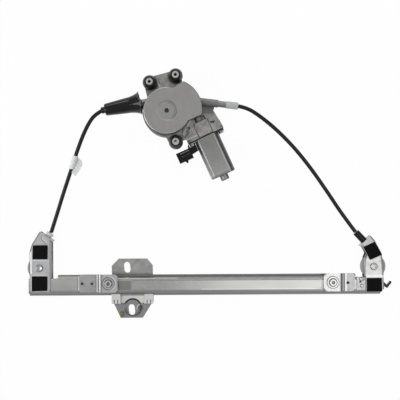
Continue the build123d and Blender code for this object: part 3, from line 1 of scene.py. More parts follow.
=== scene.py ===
"""Looks of a cable window regulator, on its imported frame. Metres, in the row frame."""

import math

import bmesh
import bpy
from mathutils import Matrix, Vector, noise


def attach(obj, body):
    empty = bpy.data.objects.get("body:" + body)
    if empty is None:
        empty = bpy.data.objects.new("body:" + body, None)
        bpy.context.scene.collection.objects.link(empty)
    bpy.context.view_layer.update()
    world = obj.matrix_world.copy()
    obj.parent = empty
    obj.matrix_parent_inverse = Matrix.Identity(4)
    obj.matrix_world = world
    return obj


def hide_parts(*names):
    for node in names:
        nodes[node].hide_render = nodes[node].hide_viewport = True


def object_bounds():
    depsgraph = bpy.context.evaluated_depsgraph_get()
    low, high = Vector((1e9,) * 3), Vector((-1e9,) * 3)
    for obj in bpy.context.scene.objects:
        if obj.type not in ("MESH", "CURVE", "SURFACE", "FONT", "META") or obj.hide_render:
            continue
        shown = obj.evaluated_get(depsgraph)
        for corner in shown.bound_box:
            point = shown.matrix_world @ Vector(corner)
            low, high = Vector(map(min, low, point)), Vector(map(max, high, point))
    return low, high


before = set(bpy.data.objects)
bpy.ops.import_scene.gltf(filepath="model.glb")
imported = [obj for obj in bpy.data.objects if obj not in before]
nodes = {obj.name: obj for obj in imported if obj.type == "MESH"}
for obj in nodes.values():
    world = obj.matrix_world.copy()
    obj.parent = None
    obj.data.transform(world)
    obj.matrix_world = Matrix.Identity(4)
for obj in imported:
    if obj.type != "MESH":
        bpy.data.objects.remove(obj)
cad_low, cad_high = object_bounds()

# Camera
# The regulator lies on its back and is seen from straight above, from 1.2 m over the
# front of the rail, with a slight turn of the camera.
camera_data = bpy.data.cameras.new("camera")
camera_data.sensor_width = 36.0
camera_data.lens = 72.0
camera = bpy.data.objects.new("camera", camera_data)
camera.location = (0.1382, 0.1247, 1.2)
camera.rotation_euler = (0, 0, math.radians(-0.315))
bpy.context.scene.collection.objects.link(camera)
bpy.context.scene.camera = camera
bpy.context.scene.view_settings.view_transform = "Standard"


# Sheathed cables
# Each is a black plastic sheath, 6 mm thick, over the drive wire. The left one runs
# from the rubber boot to the left pulley bracket, the right one from the pale ferrule
# to the right bracket.
def link(piece, body):
    """Put a finished piece in the scene, riding on its body."""
    bpy.context.scene.collection.objects.link(piece)
    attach(piece, body)
    return piece


def new_group(name, inputs, outputs):
    """An empty shader group with named float inputs and outputs."""
    group = bpy.data.node_groups.new(name, "ShaderNodeTree")
    for title, value in inputs.items():
        socket = group.interface.new_socket(title, in_out="INPUT", socket_type="NodeSocketFloat")
        socket.default_value = value
    for title in outputs:
        group.interface.new_socket(title, in_out="OUTPUT", socket_type="NodeSocketFloat")
    entry = group.nodes.new("NodeGroupInput")
    leave = group.nodes.new("NodeGroupOutput")
    return group, entry.outputs, leave.inputs


def add_math(tree, kind, first, second=None, third=None):
    """A math node on sockets or numbers; returns its output."""
    node = tree.nodes.new("ShaderNodeMath")
    node.operation = kind
    for socket, value in zip(node.inputs, (first, second, third)):
        if isinstance(value, bpy.types.NodeSocket):
            tree.links.new(value, socket)
        elif value is not None:
            socket.default_value = value
    return node.outputs[0]


# Soft cloudy variation. Size is the patch in millimetres, Stretch its length along X.
mottle, given, made = new_group("mottle", {"Size": 8.0, "Stretch": 1.0, "Contrast": 1.5}, ["Mask"])
place = mottle.nodes.new("ShaderNodeTexCoord")
squeeze = mottle.nodes.new("ShaderNodeVectorMath")
squeeze.operation = "MULTIPLY"
shape = mottle.nodes.new("ShaderNodeCombineXYZ")
mottle.links.new(add_math(mottle, "DIVIDE", 1.0, given["Stretch"]), shape.inputs["X"])
shape.inputs["Y"].default_value = 1.0
shape.inputs["Z"].default_value = 1.0
mottle.links.new(place.outputs["Object"], squeeze.inputs[0])
mottle.links.new(shape.outputs[0], squeeze.inputs[1])
cloud = mottle.nodes.new("ShaderNodeTexNoise")
cloud.inputs["Detail"].default_value = 5.0
mottle.links.new(squeeze.outputs[0], cloud.inputs["Vector"])
mottle.links.new(add_math(mottle, "DIVIDE", 1000.0, given["Size"]), cloud.inputs["Scale"])
centred = add_math(mottle, "SUBTRACT", cloud.outputs["Fac"], 0.5)
spread = add_math(mottle, "MULTIPLY_ADD", centred, given["Contrast"], 0.5)
spread.node.use_clamp = True
mottle.links.new(spread, made["Mask"])

# Mask of the worn corners, lightened as wear and as painted highlight: where a rounded edge's normal leaves
# the flat one's.
worn_and_highlit_edge, given, made = new_group("worn and highlit edge", {"Radius": 0.4, "Amount": 1.0}, ["Mask"])
rounded = worn_and_highlit_edge.nodes.new("ShaderNodeBevel")
rounded.samples = 6
flat = worn_and_highlit_edge.nodes.new("ShaderNodeNewGeometry")
lean = worn_and_highlit_edge.nodes.new("ShaderNodeVectorMath")
lean.operation = "DOT_PRODUCT"
worn_and_highlit_edge.links.new(add_math(worn_and_highlit_edge, "DIVIDE", given["Radius"], 1000.0), rounded.inputs["Radius"])
worn_and_highlit_edge.links.new(rounded.outputs[0], lean.inputs[0])
worn_and_highlit_edge.links.new(flat.outputs["Normal"], lean.inputs[1])
turned = add_math(worn_and_highlit_edge, "SUBTRACT", 1.0, lean.outputs["Value"])
rub = worn_and_highlit_edge.nodes.new("ShaderNodeGroup")
rub.node_tree = mottle
rub.inputs["Size"].default_value = 2.0
rub.inputs["Contrast"].default_value = 2.5
wear_and_highlight = add_math(worn_and_highlit_edge, "MULTIPLY", add_math(worn_and_highlit_edge, "MULTIPLY", turned, 6.0), rub.outputs["Mask"])
wear_and_highlight = add_math(worn_and_highlit_edge, "MULTIPLY", wear_and_highlight, given["Amount"])
wear_and_highlight.node.use_clamp = True
worn_and_highlit_edge.links.new(wear_and_highlight, made["Mask"])

# Mask of the steep faces, which the finishes darken as painted shade.
steep_face, given, made = new_group("steep face", {"Flat": 0.92, "Steep": 0.45}, ["Mask"])
facing = steep_face.nodes.new("ShaderNodeNewGeometry")
facing_axes = steep_face.nodes.new("ShaderNodeSeparateXYZ")
steep_face.links.new(facing.outputs["Normal"], facing_axes.inputs[0])
slope = steep_face.nodes.new("ShaderNodeMapRange")
steep_face.links.new(add_math(steep_face, "ABSOLUTE", facing_axes.outputs["Z"]), slope.inputs["Value"])
steep_face.links.new(given["Flat"], slope.inputs["From Min"])
steep_face.links.new(given["Steep"], slope.inputs["From Max"])
steep_face.links.new(slope.outputs["Result"], made["Mask"])

# Mask of inner corners, darkened as painted shade by ambient occlusion. Reach is in millimetres.
crevice, given, made = new_group("crevice", {"Reach": 3.0, "Amount": 1.6}, ["Mask"])
shelter = crevice.nodes.new("ShaderNodeAmbientOcclusion")
shelter.samples = 8
crevice.links.new(add_math(crevice, "DIVIDE", given["Reach"], 1000.0), shelter.inputs["Distance"])
occlusion_shade = add_math(crevice, "SUBTRACT", 1.0, shelter.outputs["AO"])
occlusion_shade = add_math(crevice, "MULTIPLY", occlusion_shade, given["Amount"])
occlusion_shade.node.use_clamp = True
crevice.links.new(occlusion_shade, made["Mask"])


def use_group(tree, group, **values):
    """A group node with its inputs set."""
    node = tree.nodes.new("ShaderNodeGroup")
    node.node_tree = group
    for title, value in values.items():
        node.inputs[title].default_value = value
    return node


def add_mix(tree, mask, low, high):
    """Colour low where the mask is 0 and high where it is 1."""
    node = tree.nodes.new("ShaderNodeMix")
    node.data_type = "RGBA"
    tree.links.new(mask, node.inputs["Factor"])
    for socket, value in ((node.inputs["A"], low), (node.inputs["B"], high)):
        if isinstance(value, bpy.types.NodeSocket):
            tree.links.new(value, socket)
        else:
            socket.default_value = (*value, 1.0)
    return node.outputs["Result"]


def add_range(tree, mask, low, high):
    """The mask from 0 to 1 carried to low to high."""
    node = tree.nodes.new("ShaderNodeMapRange")
    tree.links.new(mask, node.inputs["Value"])
    node.inputs["To Min"].default_value = low
    node.inputs["To Max"].default_value = high
    return node.outputs["Result"]


def finish(
    name, dark, light, rough, metal=0.0, patch=8.0, stretch=1.0, contrast=1.5,
    edge=None, edge_radius=0.35, grain=0.5, grain_height=0.02, corner=0.25,
    flank=None, grime=None, grime_reach=3.0, gloss=0.5,
):
    """A surface: mottled colour and roughness, rounded corners lightened as wear and as painted highlight, a
    fine grain.

    flank is painted shade on the steep faces and grime painted shade in the inner corners; gloss is the
    specular level.
    patch, grain, edge_radius, grime_reach and corner are in millimetres; grain_height too.
    """
    material = bpy.data.materials.new(name)
    material.use_nodes = True
    tree = material.node_tree
    shader = tree.nodes["Principled BSDF"]
    shader.inputs["Metallic"].default_value = metal
    shader.inputs["Specular IOR Level"].default_value = gloss
    clouds = use_group(tree, mottle, Size=patch, Stretch=stretch, Contrast=contrast)
    colour = add_mix(tree, clouds.outputs["Mask"], dark, light)
    # Painted shade on the steep faces.
    if flank:
        side = use_group(tree, steep_face)
        colour = add_mix(tree, side.outputs["Mask"], colour, flank)
    # Painted shade in the inner corners.
    if grime:
        corners = use_group(tree, crevice, Reach=grime_reach)
        colour = add_mix(tree, corners.outputs["Mask"], colour, grime)
    # Worn corners, lightened as wear and as painted highlight.
    if edge:
        rim = use_group(tree, worn_and_highlit_edge, Radius=edge_radius)
        colour = add_mix(tree, rim.outputs["Mask"], colour, edge)
    tree.links.new(colour, shader.inputs["Base Color"])
    smudge = use_group(tree, mottle, Size=patch * 0.37, Stretch=stretch, Contrast=2.0)
    tree.links.new(add_range(tree, smudge.outputs["Mask"], *rough), shader.inputs["Roughness"])
    fine = use_group(tree, mottle, Size=grain, Stretch=stretch, Contrast=2.0)
    bump = tree.nodes.new("ShaderNodeBump")
    bump.inputs["Strength"].default_value = 1.0
    bump.inputs["Distance"].default_value = grain_height / 1000
    tree.links.new(fine.outputs["Mask"], bump.inputs["Height"])
    round_off = tree.nodes.new("ShaderNodeBevel")
    round_off.inputs["Radius"].default_value = corner / 1000
    tree.links.new(round_off.outputs[0], bump.inputs["Normal"])
    tree.links.new(bump.outputs[0], shader.inputs["Normal"])
    return material


def dress(material, *names):
    """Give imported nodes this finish."""
    for name in names:
        nodes[name].data.materials.clear()
        nodes[name].data.materials.append(material)


cable_radius = 0.003
sheath = finish(
    "sheath", (0.003, 0.003, 0.004), (0.009, 0.009, 0.010), (0.22, 0.40), patch=14, grain=0.8, gloss=0.35,
)
left_route = (
    (-0.00598, 0.25843, 0.0130),
    (-0.0175, 0.2517, 0.0128),
    (-0.0255, 0.2410, 0.0120),
    (-0.0345, 0.2240, 0.0102),
    (-0.0445, 0.1995, 0.0062),
    (-0.0555, 0.1685, 0.0004),
    (-0.0685, 0.1335, -0.0060),
    (-0.0785, 0.1035, -0.0106),
    (-0.08744, 0.07688, -0.0120),
)
right_route = (
    (0.19566, 0.26359, 0.0130),
    (0.2080, 0.2613, 0.0129),
    (0.2265, 0.2500, 0.0120),
    (0.2510, 0.2305, 0.0092),
    (0.2790, 0.2030, 0.0042),
    (0.3050, 0.1715, -0.0014),
    (0.3310, 0.1350, -0.0072),
    (0.3536, 0.1012, -0.0110),
    (0.37312, 0.07548, -0.0120),
)
for side, route, length, on_it in (
    ("left", left_route, 0.2039, [nodes["conduit_clip"]]),
    ("right", right_route, 0.2645, []),
):
    curve = bpy.data.curves.new(side + "_sheath", "CURVE")
    curve.dimensions = "3D"
    curve.bevel_depth = cable_radius
    curve.bevel_resolution = 6
    curve.resolution_u = 16
    curve.use_fill_caps = True
    line = curve.splines.new("NURBS")
    line.points.add(len(route) - 1)
    for point, spot in zip(line.points, route):
        point.co = (*spot, 1.0)
    line.order_u = 3
    line.use_endpoint_u = True
    curve.materials.append(sheath)
    cable = link(bpy.data.objects.new(side + "_sheath", curve), "frame")
    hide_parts(side + "_conduit")

# Guide rail
# A strip of galvanised steel, rolled to a hat section with a shallow bead. The bead grows
# brighter toward the right.
spangle, given, made = new_group("zinc spangle", {"Size": 7.0}, ["Mask"])
place = spangle.nodes.new("ShaderNodeTexCoord")
crystal = spangle.nodes.new("ShaderNodeTexVoronoi")
spangle.links.new(place.outputs["Object"], crystal.inputs["Vector"])
spangle.links.new(add_math(spangle, "DIVIDE", 1000.0, given["Size"]), crystal.inputs["Scale"])
facet = spangle.nodes.new("ShaderNodeSeparateColor")
spangle.links.new(crystal.outputs["Color"], facet.inputs[0])
spangle.links.new(facet.outputs[0], made["Mask"])


def galvanised(name, dark, light, rough, shade, **more):
    """Zinc-coated steel: the general finish with crystal patches laid over it."""
    material = finish(name, dark, light, rough, metal=1.0, edge=(0.85, 0.85, 0.85), **more)
    tree = material.node_tree
    shader = tree.nodes["Principled BSDF"]
    colour = shader.inputs["Base Color"].links[0].from_socket
    crystals = use_group(tree, spangle, Size=5.0)
    dimmed = tree.nodes.new("ShaderNodeMix")
    dimmed.data_type = "RGBA"
    dimmed.blend_type = "MULTIPLY"
    dimmed.inputs["Factor"].default_value = 1.0
    tint = add_mix(tree, crystals.outputs["Mask"], shade, (1.0, 1.0, 1.0))
    tree.links.new(colour, dimmed.inputs["A"])
    tree.links.new(tint, dimmed.inputs["B"])
    tree.links.new(dimmed.outputs["Result"], shader.inputs["Base Color"])
    return material


# A band across one axis: 1 within Half of Place and fading over Soft, all in millimetres.
band, given, made = new_group("band", {"Coordinate": 0.0, "Place": 0.0, "Half": 1.0, "Soft": 0.5}, ["Mask"])
away = add_math(band, "MULTIPLY_ADD", given["Coordinate"], 1000.0, 0.0)
away = add_math(band, "ABSOLUTE", add_math(band, "SUBTRACT", away, given["Place"]))
near = add_math(band, "SUBTRACT", add_math(band, "ADD", given["Half"], given["Soft"]), away)
near = add_math(band, "DIVIDE", near, given["Soft"])
near.node.use_clamp = True
band.links.new(near, made["Mask"])


def axes_of(tree):
    """The piece's own X, Y and Z at each point."""
    spot = tree.nodes.new("ShaderNodeTexCoord")
    axes = tree.nodes.new("ShaderNodeSeparateXYZ")
    tree.links.new(spot.outputs["Object"], axes.inputs[0])
    return axes.outputs


def add_band(tree, coordinate, place, half, soft):
    """Mask of one band across a coordinate, in millimetres."""
    node = use_group(tree, band, Place=place, Half=half, Soft=soft)
    tree.links.new(coordinate, node.inputs["Coordinate"])
    return node.outputs["Mask"]


def add_ramp(tree, value, start, end):
    """Mask that rises from 0 at the start value to 1 at the end value."""
    node = tree.nodes.new("ShaderNodeMapRange")
    tree.links.new(value, node.inputs["Value"])
    node.inputs["From Min"].default_value = start
    node.inputs["From Max"].default_value = end
    return node.outputs["Result"]


def add_ahead(tree, axes, spot, turn):
    """Distance in metres past a spot, in millimetres, along a heading in degrees."""
    east, north = math.cos(math.radians(turn)), math.sin(math.radians(turn))
    level = add_math(tree, "MULTIPLY_ADD", axes[0], east, -(spot[0] * east + spot[1] * north) / 1000)
    return add_math(tree, "MULTIPLY_ADD", axes[1], north, level)


def add_line(tree, axes, start, end, half, soft=0.4):
    """Mask of a straight line between two spots, in millimetres."""
    turn = math.degrees(math.atan2(end[1] - start[1], end[0] - start[0]))
    reach = math.dist(start, end) / 2
    along = add_band(tree, add_ahead(tree, axes, start, turn), reach, reach, soft)
    across = add_band(tree, add_ahead(tree, axes, start, turn + 90), 0.0, half, soft)
    return add_math(tree, "MULTIPLY", along, across)


def add_arc(tree, axes, centre, radius, half, soft=0.4, turn=None, beyond=0.0):
    """Mask of a ring round a centre, or of its part beyond a chord toward a heading."""
    east = add_math(tree, "SUBTRACT", axes[0], centre[0] / 1000)
    north = add_math(tree, "SUBTRACT", axes[1], centre[1] / 1000)
    square = add_math(tree, "MULTIPLY_ADD", north, north, add_math(tree, "MULTIPLY", east, east))
    ring = add_band(tree, add_math(tree, "SQRT", square), radius, half, soft)
    if turn is None:
        return ring
    ahead = add_ahead(tree, axes, centre, turn)
    kept = add_ramp(tree, ahead, (beyond - 2.0) / 1000, (beyond + 3.0) / 1000)
    return add_math(tree, "MULTIPLY", ring, kept)


def tone(material, mask, colour, amount=1.0):
    """Shade a finish toward a colour where the mask is 1."""
    tree = material.node_tree
    base = tree.nodes["Principled BSDF"].inputs["Base Color"]
    under = base.links[0].from_socket
    share = add_math(tree, "MULTIPLY", mask, amount)
    tree.links.new(add_mix(tree, share, under, colour), base)


rail_zinc = galvanised(
    "rail_zinc", (0.44, 0.44, 0.43), (0.60, 0.60, 0.59), (0.34, 0.50), (0.90, 0.90, 0.90),
    patch=16, stretch=7, grain=1.2, grain_height=0.015, flank=(0.20, 0.20, 0.195), grime=(0.16, 0.16, 0.155),
)
# Painted shade darkens the walls and lips beside the web, painted light brightens the upper wall at the left
# end, and painted light and shade lie along the bends.
tree = rail_zinc.node_tree
rail_axes = axes_of(tree)
rail_x, rail_y = rail_axes[0], rail_axes[1]
bead_middle = -3.5
web = add_band(tree, rail_y, bead_middle, 11.0, 0.8)
tone(rail_zinc, add_math(tree, "SUBTRACT", 1.0, web), (0.24, 0.24, 0.24), 0.85)
tone(rail_zinc, add_band(tree, rail_y, -17.6, 1.8, 0.4), (0.36, 0.36, 0.36), 0.8)
left_wall = add_math(
    tree, "MULTIPLY", add_band(tree, rail_y, 9.2, 0.9, 0.5), add_band(tree, rail_x, -62.0, 16.0, 1.0),
)
tone(rail_zinc, left_wall, (0.60, 0.60, 0.59), 0.9)
bend_y = 7.2
for from_x, to_x, shade, amount in (
    (-20.0, 105.0, (0.60, 0.60, 0.59), 0.7), (105.0, 330.0, (0.33, 0.33, 0.33), 0.8),
):
    bend = add_line(tree, rail_axes, (from_x, bend_y), (to_x, bend_y), 0.5, 0.6)
    tone(rail_zinc, bend, shade, amount)
tone(rail_zinc, add_band(tree, rail_y, -13.2, 1.6, 0.8), (0.31, 0.31, 0.315), 0.8)
# The bead is darker beside the left plate and grows brighter toward the right, with a bright line near its
# lower edge.
bead = add_band(tree, rail_y, bead_middle, 6.6, 0.7)
dark_bead_left = add_math(tree, "MULTIPLY", bead, add_band(tree, rail_x, 23.0, 10.0, 1.0))
tone(rail_zinc, dark_bead_left, (0.27, 0.275, 0.27), 0.8)
bright_bead_right = add_math(tree, "MULTIPLY", bead, add_ramp(tree, rail_x, 0.085, 0.185))
tone(rail_zinc, bright_bead_right, (0.90, 0.90, 0.87), 0.80)
bright_bead_line = add_line(tree, rail_axes, (140.0, -9.6), (316.0, -9.6), 0.5, 0.5)
tone(rail_zinc, bright_bead_line, (0.98, 0.98, 0.95), 0.8)
dress(rail_zinc, "guide_rail")

# Mounting plates and weld nuts
# Pressed from thicker sheet and spot-welded to the rail; the nuts are zinc plated.
plate_zinc = galvanised(
    "plate_zinc", (0.46, 0.46, 0.46), (0.62, 0.62, 0.62), (0.28, 0.42), (0.92, 0.92, 0.92), patch=12,
    flank=(0.25, 0.25, 0.25), grime=(0.14, 0.14, 0.14), grime_reach=2.5,
)
tree = plate_zinc.node_tree
plate_axes = axes_of(tree)
plate_x = plate_axes[0]
# Light and shade run across the plates on the bends of their joggles.
for streak_x, half, shade in (
    (-18.5, 0.4, 0.10), (-16.9, 0.5, 0.18), (-14.9, 0.8, 0.05), (-12.2, 0.8, 0.24), (-10.6, 0.3, 0.30),
    (350.3, 0.8, 0.14), (352.7, 0.5, 0.70), (354.6, 0.5, 0.40), (357.0, 0.7, 0.92),
):
    tone(plate_zinc, add_band(tree, plate_x, streak_x, half, 0.5), (shade, shade, shade * 1.01), 0.95)
# The ends with the nuts are lighter, the right one most, and a painted highlight runs
# along the left plate's far edge.
tone(plate_zinc, add_band(tree, plate_x, 2.6, 11.4, 0.5), (0.86, 0.87, 0.89), 0.35)
tone(plate_zinc, add_band(tree, plate_x, -44.9, 0.5, 0.4), (0.95, 0.95, 0.96), 0.9)
tone(plate_zinc, add_band(tree, plate_x, 335.0, 12.2, 0.5), (0.93, 0.93, 0.94), 0.75)
# The right end's two cut corners lie in shade.
for turn, spot in ((135.0, (326.6, 11.2)), (-135.0, (326.6, -11.2))):
    corner_cut = add_ramp(tree, add_ahead(tree, plate_axes, spot, turn), 0.0, 0.0006)
    right_end_zone = add_band(tree, plate_x, 330.0, 12.0, 0.5)
    tone(plate_zinc, add_math(tree, "MULTIPLY", corner_cut, right_end_zone), (0.30, 0.30, 0.30), 0.9)
# A painted highlight arc runs beside the left nut.
collar_highlight = add_arc(tree, plate_axes, (0.0, 0.0), 10.4, 0.6, 0.4, 10.0, 2.0)
tone(plate_zinc, collar_highlight, (1.0, 1.0, 1.0), 1.0)
dress(plate_zinc, "left_mounting_plate", "right_mounting_plate")
nut_zinc = finish(
    "nut_zinc", (0.48, 0.48, 0.47), (0.66, 0.66, 0.65), (0.22, 0.36), metal=1.0, patch=4,
    edge=(0.9, 0.9, 0.9), grain=0.4, grain_height=0.01, flank=(0.20, 0.20, 0.20),
    grime=(0.10, 0.10, 0.10), grime_reach=2.0,
)
# Painted rings of light and shade on the nuts' steps and chamfers.
tree = nut_zinc.node_tree
nut_axes = axes_of(tree)
nut_places = ((0.0, 0.0), (337.0, 0.0))
for nut in nut_places:
    for radius, half, shade in ((3.9, 0.7, 0.85), (5.9, 0.4, 0.16), (7.4, 0.5, 0.90), (9.0, 0.3, 0.12)):
        ring = add_arc(tree, nut_axes, nut, radius, half, 0.4)
        tone(nut_zinc, ring, (shade, shade, shade), 0.75)
dress(nut_zinc, "left_mount_nut", "right_mount_nut")


def shape_mesh(name, points, faces, material, body, smooth=True):
    """A piece from its points, in millimetres, and its faces."""
    mesh = bpy.data.meshes.new(name)
    mesh.from_pydata([Vector(point) / 1000 for point in points], [], faces)
    form = bmesh.new()
    form.from_mesh(mesh)
    bmesh.ops.recalc_face_normals(form, faces=form.faces)
    form.to_mesh(mesh)
    form.free()
    mesh.polygons.foreach_set("use_smooth", [smooth] * len(mesh.polygons))
    mesh.materials.append(material)
    return link(bpy.data.objects.new(name, mesh), body)


def round_spot(centre, reach, angle, level):
    """A point on a level circle round a centre."""
    return (centre[0] + reach * math.cos(angle), centre[1] + reach * math.sin(angle), level)


bore_radius = 2.5
thread_steps = 24
thread_ridge = ((bore_radius + 0.05, 0.05), (bore_radius - 0.32, 0.5), (bore_radius + 0.05, 0.95))


def screw_thread(points, faces, centre, low, high):
    """Add an M6 ridge of 1 mm pitch on a bore's wall to a mesh in the making."""
    start = len(points)
    steps = int((high - low - 1.0) * thread_steps)
    for step in range(steps + 1):
        angle = math.tau * step / thread_steps
        level = low + step / thread_steps
        points += [round_spot(centre, reach, angle, level + rise) for reach, rise in thread_ridge]
    for step in range(steps):
        here = start + 3 * step
        for corner in range(3):
            after = (corner + 1) % 3
            faces.append((here + corner, here + after, here + 3 + after, here + 3 + corner))
    faces.append((start, start + 1, start + 2))
    faces.append((start + 3 * steps, start + 3 * steps + 2, start + 3 * steps + 1))


# Threads in the bores are oiled steel, kept near black as painted shade down the bores.
oiled_shade_steel = finish(
    "oiled_shaded_thread", (0.06, 0.06, 0.06), (0.14, 0.14, 0.14), (0.30, 0.45), metal=1.0, patch=1.5, grain=0.3,
)
points, faces = [], []
for nut in nut_places:
    screw_thread(points, faces, nut, -2.0, 3.9)
shape_mesh("rail_nut_threads", points, faces, oiled_shade_steel, "frame")


def round_dish(points, faces, centre, profile, steps):
    """Add a turned dish, closed above and below, to a mesh in the making."""
    start = len(points)
    angles = [math.tau * step / steps for step in range(steps)]
    for reach, level in profile:
        points += [round_spot(centre, reach, angle, level) for angle in angles]
    for ring in range(len(profile) - 1):
        here = start + steps * ring
        for step in range(steps):
            after = (step + 1) % steps
            faces.append((here + step, here + after, here + steps + after, here + steps + step))
    top = start + steps * (len(profile) - 1)
    faces.append(tuple(range(top, top + steps)))
    faces.append(tuple(range(start, start + steps)))


# Spot welds that hold the plates: shallow dishes with a raised ring, dark as weld scorch and as painted shade
# in the dimples.
weld_marks_shade = finish(
    "weld_marks_and_shade", (0.06, 0.06, 0.058), (0.16, 0.155, 0.15), (0.45, 0.60), metal=0.8, patch=1.2, grain=0.4,
)
points, faces = [], []
weld_profile = ((2.3, -3.02), (1.9, -2.84), (1.4, -2.95), (0.7, -2.98))
for weld in ((-39.9, -0.3), (-25.0, -0.4), (359.7, -0.8)):
    round_dish(points, faces, weld, weld_profile, 24)
shape_mesh("plate_spot_welds", points, faces, weld_marks_shade, "frame")

# Pulley brackets
# Pressed steel, dull zinc on the left and bright zinc on the right, with the pins and
# rivets that they hold.
left_zinc = galvanised(
    "left_bracket_zinc", (0.54, 0.55, 0.56), (0.66, 0.67, 0.68), (0.30, 0.46), (0.94, 0.94, 0.94),
    patch=10, flank=(0.30, 0.30, 0.31), grime=(0.25, 0.25, 0.25),
)
tree = left_zinc.node_tree
bracket_axes = axes_of(tree)
# Painted shade on the bracket's low-lying parts.
tone(left_zinc, add_band(tree, bracket_axes[2], -13.4, 6.0, 0.5), (0.20, 0.20, 0.205), 0.9)
# Lines of light and shade along its outline, its folds and the borders of the pads.
for start, end, half, shade in (
    ((-87.3, -8.0), (-87.3, 66.0), 1.1, 0.66), ((-116.8, 15.0), (-116.8, 48.0), 0.7, 0.99),
    ((-118.7, -8.0), (-118.7, 48.6), 0.6, 0.10), ((-118.4, 48.6), (-115.2, 58.7), 0.6, 0.10),
    ((-115.1, 58.8), (-103.0, 78.3), 0.6, 0.10), ((-102.6, 79.0), (-99.0, 79.0), 0.9, 0.12),
    ((-100.9, 71.2), (-100.4, 66.1), 0.25, 0.24), ((-100.4, 66.1), (-93.3, 60.1), 0.25, 0.24),
    ((-98.9, 71.8), (-98.5, 67.0), 0.3, 0.85), ((-98.5, 67.0), (-92.0, 61.6), 0.3, 0.85),
    ((-114.0, 35.2), (-92.0, 35.2), 0.5, 0.80), ((-114.0, 12.8), (-92.0, 12.8), 0.5, 0.80),
):
    mark = add_line(tree, bracket_axes, start, end, half)
    tone(left_zinc, mark, (shade, shade, shade * 1.01), 0.9)
dress(left_zinc, "left_pulley_bracket")
right_zinc = galvanised(
    "right_bracket_zinc", (0.60, 0.61, 0.60), (0.76, 0.77, 0.75), (0.28, 0.42), (0.86, 0.86, 0.85),
    patch=8, flank=(0.30, 0.30, 0.31), grime=(0.22, 0.22, 0.22),
)
tree = right_zinc.node_tree
bracket_axes = axes_of(tree)
bracket_x, bracket_y, bracket_z = bracket_axes
# Painted shade on the low-lying parts, the top and the tab, and painted light across the middle.
tone(right_zinc, add_band(tree, bracket_z, -12.2, 7.4, 0.6), (0.17, 0.17, 0.18), 0.85)
tone(right_zinc, add_band(tree, bracket_y, 66.0, 14.0, 4.0), (0.42, 0.42, 0.43), 0.75)
tone(right_zinc, add_band(tree, bracket_y, 9.0, 1.4, 1.5), (0.92, 0.92, 0.91), 0.6)
tone(right_zinc, add_band(tree, bracket_x, 378.5, 7.0, 3.0), (0.50, 0.50, 0.51), 0.7)
# Painted lines of light and shade along its bent sides and its top, then painted shade round the rivet in its
# tab.
for start, end, half, shade in (
    ((385.6, 8.0), (385.2, 27.0), 1.4, 0.18), ((385.2, 25.0), (387.2, 38.0), 1.4, 0.20),
    ((387.2, 38.0), (391.0, 44.5), 0.9, 0.22), ((386.9, -14.0), (386.9, 9.0), 0.6, 0.14),
    ((412.6, 10.0), (411.6, 26.0), 1.0, 0.34), ((411.6, 26.0), (410.0, 42.0), 1.0, 0.30),
    ((381.9, 59.6), (392.8, 70.9), 0.5, 0.30), ((392.8, 70.9), (402.4, 61.4), 0.7, 0.20),
):
    tone(right_zinc, add_line(tree, bracket_axes, start, end, half), (shade, shade, shade * 1.01), 0.85)
tone(right_zinc, add_arc(tree, bracket_axes, (378.7, 0.4), 0.0, 1.3, 0.8), (0.07, 0.06, 0.065), 0.95)
rivet_shade = add_arc(tree, bracket_axes, (380.9, 5.2), 3.6, 0.5, 0.5, 20.0, -1.0)
tone(right_zinc, rivet_shade, (0.10, 0.10, 0.10), 0.9)
dress(right_zinc, "right_pulley_bracket")
dress(nut_zinc, "left_pulley_pin", "right_pulley_pin", "bracket_rivets")

# The pins' ends are dished by the riveting tool.
points, faces = [], []
pin_profile = ((4.9, -2.25), (4.75, -1.75), (4.35, -1.5), (3.9, -1.6), (1.3, -2.1), (0.7, -2.12))
for pin_x in (-104.2, 399.2):
    round_dish(points, faces, (pin_x, 23.3), pin_profile, 32)
shape_mesh("pin_dishes", points, faces, nut_zinc, "frame")

# Pulleys and white mouldings
# Acetal pulleys, slider, sheath ferrule and clip: slightly waxy white plastic.
white_resin = finish(
    "white_resin", (0.78, 0.79, 0.78), (0.88, 0.89, 0.88), (0.32, 0.45), patch=9,
    grain=0.6, grain_height=0.01, corner=0.35, grime=(0.42, 0.42, 0.42), grime_reach=2.0,
)
white_resin.node_tree.nodes["Principled BSDF"].inputs["Subsurface Weight"].default_value = 0.15
white_resin.node_tree.nodes["Principled BSDF"].inputs["Subsurface Scale"].default_value = 0.002
dress(white_resin, "slider", "left_rail_ferrule", "conduit_clip")
# The pulleys take a grey copy of the white plastic: painted shade, where they sit behind the brackets.
shaded_pulley_resin = finish(
    "shaded_pulley_resin", (0.34, 0.34, 0.36), (0.46, 0.46, 0.48), (0.35, 0.50), patch=9,
    grain=0.6, grain_height=0.01, corner=0.35,
)
dress(shaded_pulley_resin, "left_pulley", "right_pulley")
pale_resin = finish(
    "pale_resin", (0.46, 0.49, 0.48), (0.56, 0.60, 0.58), (0.30, 0.42), patch=6,
    grain=0.6, grain_height=0.01, corner=0.35,
)
dress(pale_resin, "right_motor_ferrule")

